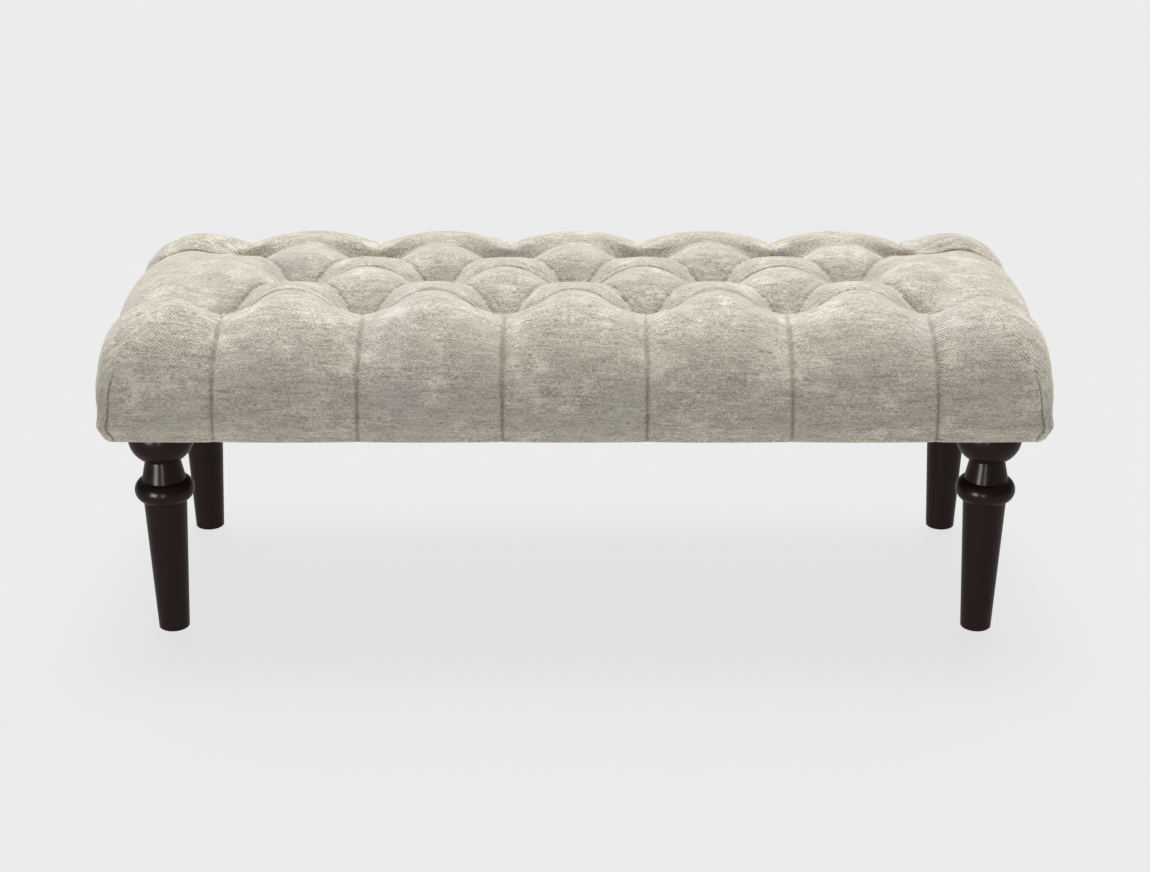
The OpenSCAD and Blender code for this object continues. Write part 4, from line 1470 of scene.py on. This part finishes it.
# %% Grain group
def make_grain_group():
    tree, source, target = group(
        "wood grain",
        [("Place", "NodeSocketVector", None), ("Bands", "NodeSocketFloat", 40.0)],
        [("Pores", "NodeSocketFloat"), ("Bands", "NodeSocketFloat"),
         ("Height", "NodeSocketFloat")],
    )
    place = source.outputs["Place"]
    pores = noise(tree, stretch(tree, place, (16, 520, 520)), 1.0, 4.0, 0.62)
    drift = noise(tree, stretch(tree, place, (1.6, 14, 14)), 1.0, 2.0, 0.5)
    across = add_node(tree, "ShaderNodeSeparateXYZ", {0: place})
    far = maths(tree, "ADD", across.outputs[1], maths(tree, "MULTIPLY", across.outputs[2], 0.6))
    far = maths(tree, "ADD", far, maths(tree, "MULTIPLY", drift, 0.045))
    turn = maths(tree, "MULTIPLY", far, source.outputs["Bands"])
    turn = maths(tree, "MULTIPLY", turn, 2 * math.pi)
    bands = spread(tree, maths(tree, "SINE", turn), -1, 1)
    height = maths(tree, "ADD", pores, maths(tree, "MULTIPLY", bands, 0.25))
    for label, socket in (("Pores", pores), ("Bands", bands), ("Height", height)):
        tree.links.new(socket, target.inputs[label])
    return tree


GRAIN = make_grain_group()
ALONG = {"x": (0, 0, 0), "y": (0, 0, math.pi / 2), "z": (0, math.pi / 2, 0)}
LATE_SHARE = 0.45
ROUGH_REACH = 0.06


def wood_material(name, grain_axis, pale, deep, late, bands, rough, relief):
    material, tree, shader = new_material(name)
    place = add_node(tree, "ShaderNodeTexCoord").outputs["Object"]
    grain = add_node(tree, "ShaderNodeGroup", node_tree=GRAIN)
    tree.links.new(turned(tree, place, ALONG[grain_axis]), grain.inputs["Place"])
    grain.inputs["Bands"].default_value = bands
    color = blend_colors(tree, spread(tree, grain.outputs["Pores"], 0.3, 0.72), deep, pale)
    late_share = maths(tree, "MULTIPLY", grain.outputs["Bands"], LATE_SHARE)
    color = blend_colors(tree, late_share, color, late)
    tree.links.new(color, shader.inputs["Base Color"])
    add_bump(tree, shader, 0.35, relief, grain.outputs["Height"])
    roughness = maths(tree, "SUBTRACT", rough, level(tree, grain.outputs["Pores"], ROUGH_REACH))
    tree.links.new(roughness, shader.inputs["Roughness"])
    return material, shader


print("grain group", len(GRAIN.nodes), "nodes")

# %% [markdown]
# The legs are turned hardwood with an almost black stain. The pores stay just visible under a
# satin lacquer. Low roughness alone would make the whole leg shine, so the lacquer is a thin
# coat over the dull stained wood. The frame's legs have their turned shape already.

# %% Legs
LEG_NODES = ["leg_front_left", "leg_front_right", "leg_back_left", "leg_back_right"]
STAIN_PALE = (0.021, 0.0094, 0.0068, 1)
STAIN_DEEP = (0.011, 0.0051, 0.0038, 1)
STAIN_LATE = (0.015, 0.0078, 0.0058, 1)


def finish(nodes, material):
    for name in nodes:
        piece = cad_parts[name]
        piece.data.materials.clear()
        piece.data.materials.append(material)


espresso, espresso_shader = wood_material(
    "espresso stain", "z", STAIN_PALE, STAIN_DEEP, STAIN_LATE, bands=55.0, rough=0.42,
    relief=0.0002,
)
set_inputs(espresso_shader, {
    "Specular IOR Level": 0.03, "Coat Weight": 0.15, "Coat Roughness": 0.2,
})
finish(LEG_NODES, espresso)
print("legs finished")

# %% [markdown]
# The seat frame is plain planed softwood, each piece with its grain along its length. The deck is
# plywood, whose plies show at its edges as bands in turned directions. A picture on each face
# could show them, but the height in the sheet already tells which ply a point is in.

# %% Frame
PINE = ((0.66, 0.5, 0.3, 1), (0.52, 0.36, 0.2, 1), (0.44, 0.27, 0.13, 1))
PINE_PIECES = [
    ("pine along x", "x", ["front_rail", "back_rail"]),
    ("pine along y", "y",
     ["left_end_rail", "right_end_rail", "left_cross_rail", "right_cross_rail"]),
    ("pine upright", "z", [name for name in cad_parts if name.startswith("corner_block")]),
]

for name, axis, nodes in PINE_PIECES:
    pine, _ = wood_material(name, axis, *PINE, bands=95.0, rough=0.62, relief=0.0003)
    finish(nodes, pine)
    print(name, nodes)

# %% Deck
PLY_STEP = 0.0024
PLY_PALE = (0.7, 0.53, 0.33, 1)
PLY_DEEP = (0.5, 0.34, 0.19, 1)
PLY_LATE = (0.46, 0.3, 0.16, 1)
PLY_ACROSS = (0.3, 0.18, 0.09, 1)
PLY_BANDS = 22.0
PLY_SHARE = 0.35
deck_low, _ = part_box("deck_panel")


def plywood_material():
    material, tree, shader = new_material("plywood")
    place = add_node(tree, "ShaderNodeTexCoord").outputs["Object"]
    grains = []
    for axis in ("x", "y"):
        grain = add_node(tree, "ShaderNodeGroup", node_tree=GRAIN)
        tree.links.new(turned(tree, place, ALONG[axis]), grain.inputs["Place"])
        grain.inputs["Bands"].default_value = PLY_BANDS
        color = blend_colors(tree, grain.outputs["Pores"], PLY_DEEP, PLY_PALE)
        late_share = maths(tree, "MULTIPLY", grain.outputs["Bands"], PLY_SHARE)
        grains.append(blend_colors(tree, late_share, color, PLY_LATE))
    up = add_node(tree, "ShaderNodeSeparateXYZ", {0: place}).outputs[2]
    layer = maths(tree, "DIVIDE", maths(tree, "SUBTRACT", up, deck_low[2]), PLY_STEP)
    odd = maths(tree, "GREATER_THAN", maths(tree, "MODULO", layer, 2.0), 1.0)
    color = blend_colors(tree, odd, grains[0], grains[1])
    color = blend_colors(tree, maths(tree, "MULTIPLY", odd, PLY_SHARE), color, PLY_ACROSS)
    tree.links.new(color, shader.inputs["Base Color"])
    shader.inputs["Roughness"].default_value = 0.68
    return material


finish(["deck_panel"], plywood_material())
print("deck from", deck_low[2], "up, plies", PLY_STEP)

# %% [markdown]
# ## Small things
# Zinc plated steel for all that is screwed, bolted or stapled, dark nylon for the glides, pale
# plastic for the washers, and waxed twine, whose twist shows as slanting bands. Plastic, fibre
# and foam differ in colour, grain size and roughness only, so one function makes all of them.

# %% Metal, plastic and fibre
finish(
    ["hanger_bolts", "tee_nuts", "rail_screws", "block_screws", "deck_screws", "cover_staples",
     "dust_cover_staples"],
    steel,
)


def speckled_material(name, low, high, scale, rough, relief):
    """Plastic or fibre: two near colours, speckled, with a slightly rough surface."""
    material, tree, shader = new_material(name)
    place = add_node(tree, "ShaderNodeTexCoord").outputs["Object"]
    fine = noise(tree, place, scale, 4.0, 0.65)
    broad = noise(tree, place, scale / 12, 2.0, 0.5)
    share = spread(tree, maths(tree, "ADD", fine, broad), 0.7, 1.3)
    tree.links.new(blend_colors(tree, share, low, high), shader.inputs["Base Color"])
    roughness = maths(tree, "ADD", level(tree, fine, ROUGH_REACH), rough)
    tree.links.new(roughness, shader.inputs["Roughness"])
    add_bump(tree, shader, 0.4, relief, fine)
    return material, shader


nylon, _ = speckled_material(
    "grey nylon", (0.016, 0.016, 0.018, 1), (0.03, 0.03, 0.032, 1), scale=900.0, rough=0.45,
    relief=0.0001,
)
washer_plastic, _ = speckled_material(
    "ivory plastic", (0.68, 0.65, 0.57, 1), (0.78, 0.75, 0.68, 1), scale=400.0, rough=0.4,
    relief=0.0001,
)
fibre, fibre_shader = speckled_material(
    "white fibre", (0.7, 0.7, 0.69, 1), (0.9, 0.9, 0.89, 1), scale=260.0, rough=0.95,
    relief=0.0012,
)
fibre_shader.inputs["Sheen Weight"].default_value = 0.4
foam_finish, _ = speckled_material(
    "yellow foam", (0.72, 0.6, 0.26, 1), (0.86, 0.76, 0.42, 1), scale=1100.0, rough=0.9,
    relief=0.0006,
)
finish(["foot_glides"], nylon)
finish(["twine_washers"], washer_plastic)
batting.data.materials.append(fibre)
foam.data.materials.clear()
foam.data.materials.append(foam_finish)
print("metal, plastic and fibre finished")

# %% Twine
TWIST_STEP = 0.0016


def twine_material():
    material, tree, shader = new_material("waxed twine")
    place = add_node(tree, "ShaderNodeTexCoord").outputs["Object"]
    parts = add_node(tree, "ShaderNodeSeparateXYZ", {0: place})
    slant = maths(tree, "ADD", parts.outputs[2], parts.outputs[0])
    twist = maths(tree, "SINE", maths(tree, "MULTIPLY", slant, 2 * math.pi / TWIST_STEP))
    fuzz = maths(tree, "MULTIPLY", noise(tree, place, 1400.0, 3.0, 0.6), 0.5)
    share = maths(tree, "ADD", spread(tree, twist, -1, 1, 0, 0.6), fuzz)
    color = blend_colors(tree, share, (0.42, 0.36, 0.26, 1), (0.76, 0.7, 0.56, 1))
    tree.links.new(color, shader.inputs["Base Color"])
    add_bump(tree, shader, 0.6, 0.0002, share)
    shader.inputs["Roughness"].default_value = 0.5
    return material


finish(["front_row_twines", "middle_row_twines", "back_row_twines"], twine_material())
print("twine finished")

# %% [markdown]
# ## Studio
# The photograph has a pale floor without a horizon, almost no shadow, and light mostly from
# above. A white floor would need strong light, and strong light makes a strong shadow. So the
# floor is nearly black and glows by itself, which keeps the shadow faint. Two suns as broad as
# a clouded sky, one overhead and one from behind, give the tops more light than the front, and
# a wide front light fills the panels. Two tall soft boxes put the streaks on the legs' lacquer.
# They light nothing else, so the streaks can be set without changing the cloth.

# %% Floor
FLOOR_SIZE = 60
FLOOR_COLOR = 0.051
FLOOR_GLOW = 0.736
WORLD_LIGHT = 0.17

bpy.ops.object.select_all(action="DESELECT")
bpy.ops.mesh.primitive_plane_add(size=FLOOR_SIZE, location=(0, 0, 0))
floor = bpy.context.object
floor.name = "studio_floor"
floor_finish, _, floor_shader = new_material("studio floor")
set_inputs(floor_shader, {
    "Base Color": (FLOOR_COLOR, FLOOR_COLOR, FLOOR_COLOR, 1), "Roughness": 1.0,
    "Specular IOR Level": 0.0, "Emission Color": (1, 1, 1, 1), "Emission Strength": FLOOR_GLOW,
})
floor.data.materials.append(floor_finish)

world = bpy.data.worlds.new("studio")
world.use_nodes = True
world.node_tree.nodes["Background"].inputs[0].default_value = (1, 1, 1, 1)
world.node_tree.nodes["Background"].inputs[1].default_value = WORLD_LIGHT
bpy.context.scene.world = world
bpy.context.scene.view_settings.view_transform = "Standard"
print("floor and world set")

# %% Lights
def aim(lamp, place, target):
    lamp.rotation_euler = (Vector(target) - Vector(place)).to_track_quat("-Z", "Y").to_euler()


def soft_box(name, place, target, size, power, streaks=False):
    """A wide lamp that either fills the matt surfaces or only shows in the glossy ones."""
    bpy.ops.object.light_add(type="AREA", location=place)
    lamp = bpy.context.object
    lamp.name = name
    lamp.data.shape = "RECTANGLE"
    lamp.data.size, lamp.data.size_y = size
    lamp.data.energy = power
    lamp.visible_diffuse, lamp.visible_glossy = not streaks, streaks
    aim(lamp, place, target)


def broad_sun(name, place, strength, spread_degrees):
    bpy.ops.object.light_add(type="SUN", location=place)
    lamp = bpy.context.object
    lamp.name = name
    lamp.data.energy = strength
    lamp.data.angle = math.radians(spread_degrees)
    aim(lamp, place, (0, 0, 0))


LEFT_LEG = (-0.5, 0, 0.2)

broad_sun("overhead light", (0, 0.8, 3.7), strength=4.1, spread_degrees=32)
broad_sun("back light", (0, 3.2, 2.6), strength=2.6, spread_degrees=62)
soft_box("front light", (0, -4.2, 0.7), (0, 0, 0.35), size=(3.0, 1.0), power=50)
soft_box("left soft box", (-2.3, -2.8, 0.8), LEFT_LEG, size=(1.2, 1.5), power=210, streaks=True)
soft_box("near soft box", (-0.4, -3.4, 0.7), LEFT_LEG, size=(0.5, 1.3), power=40, streaks=True)
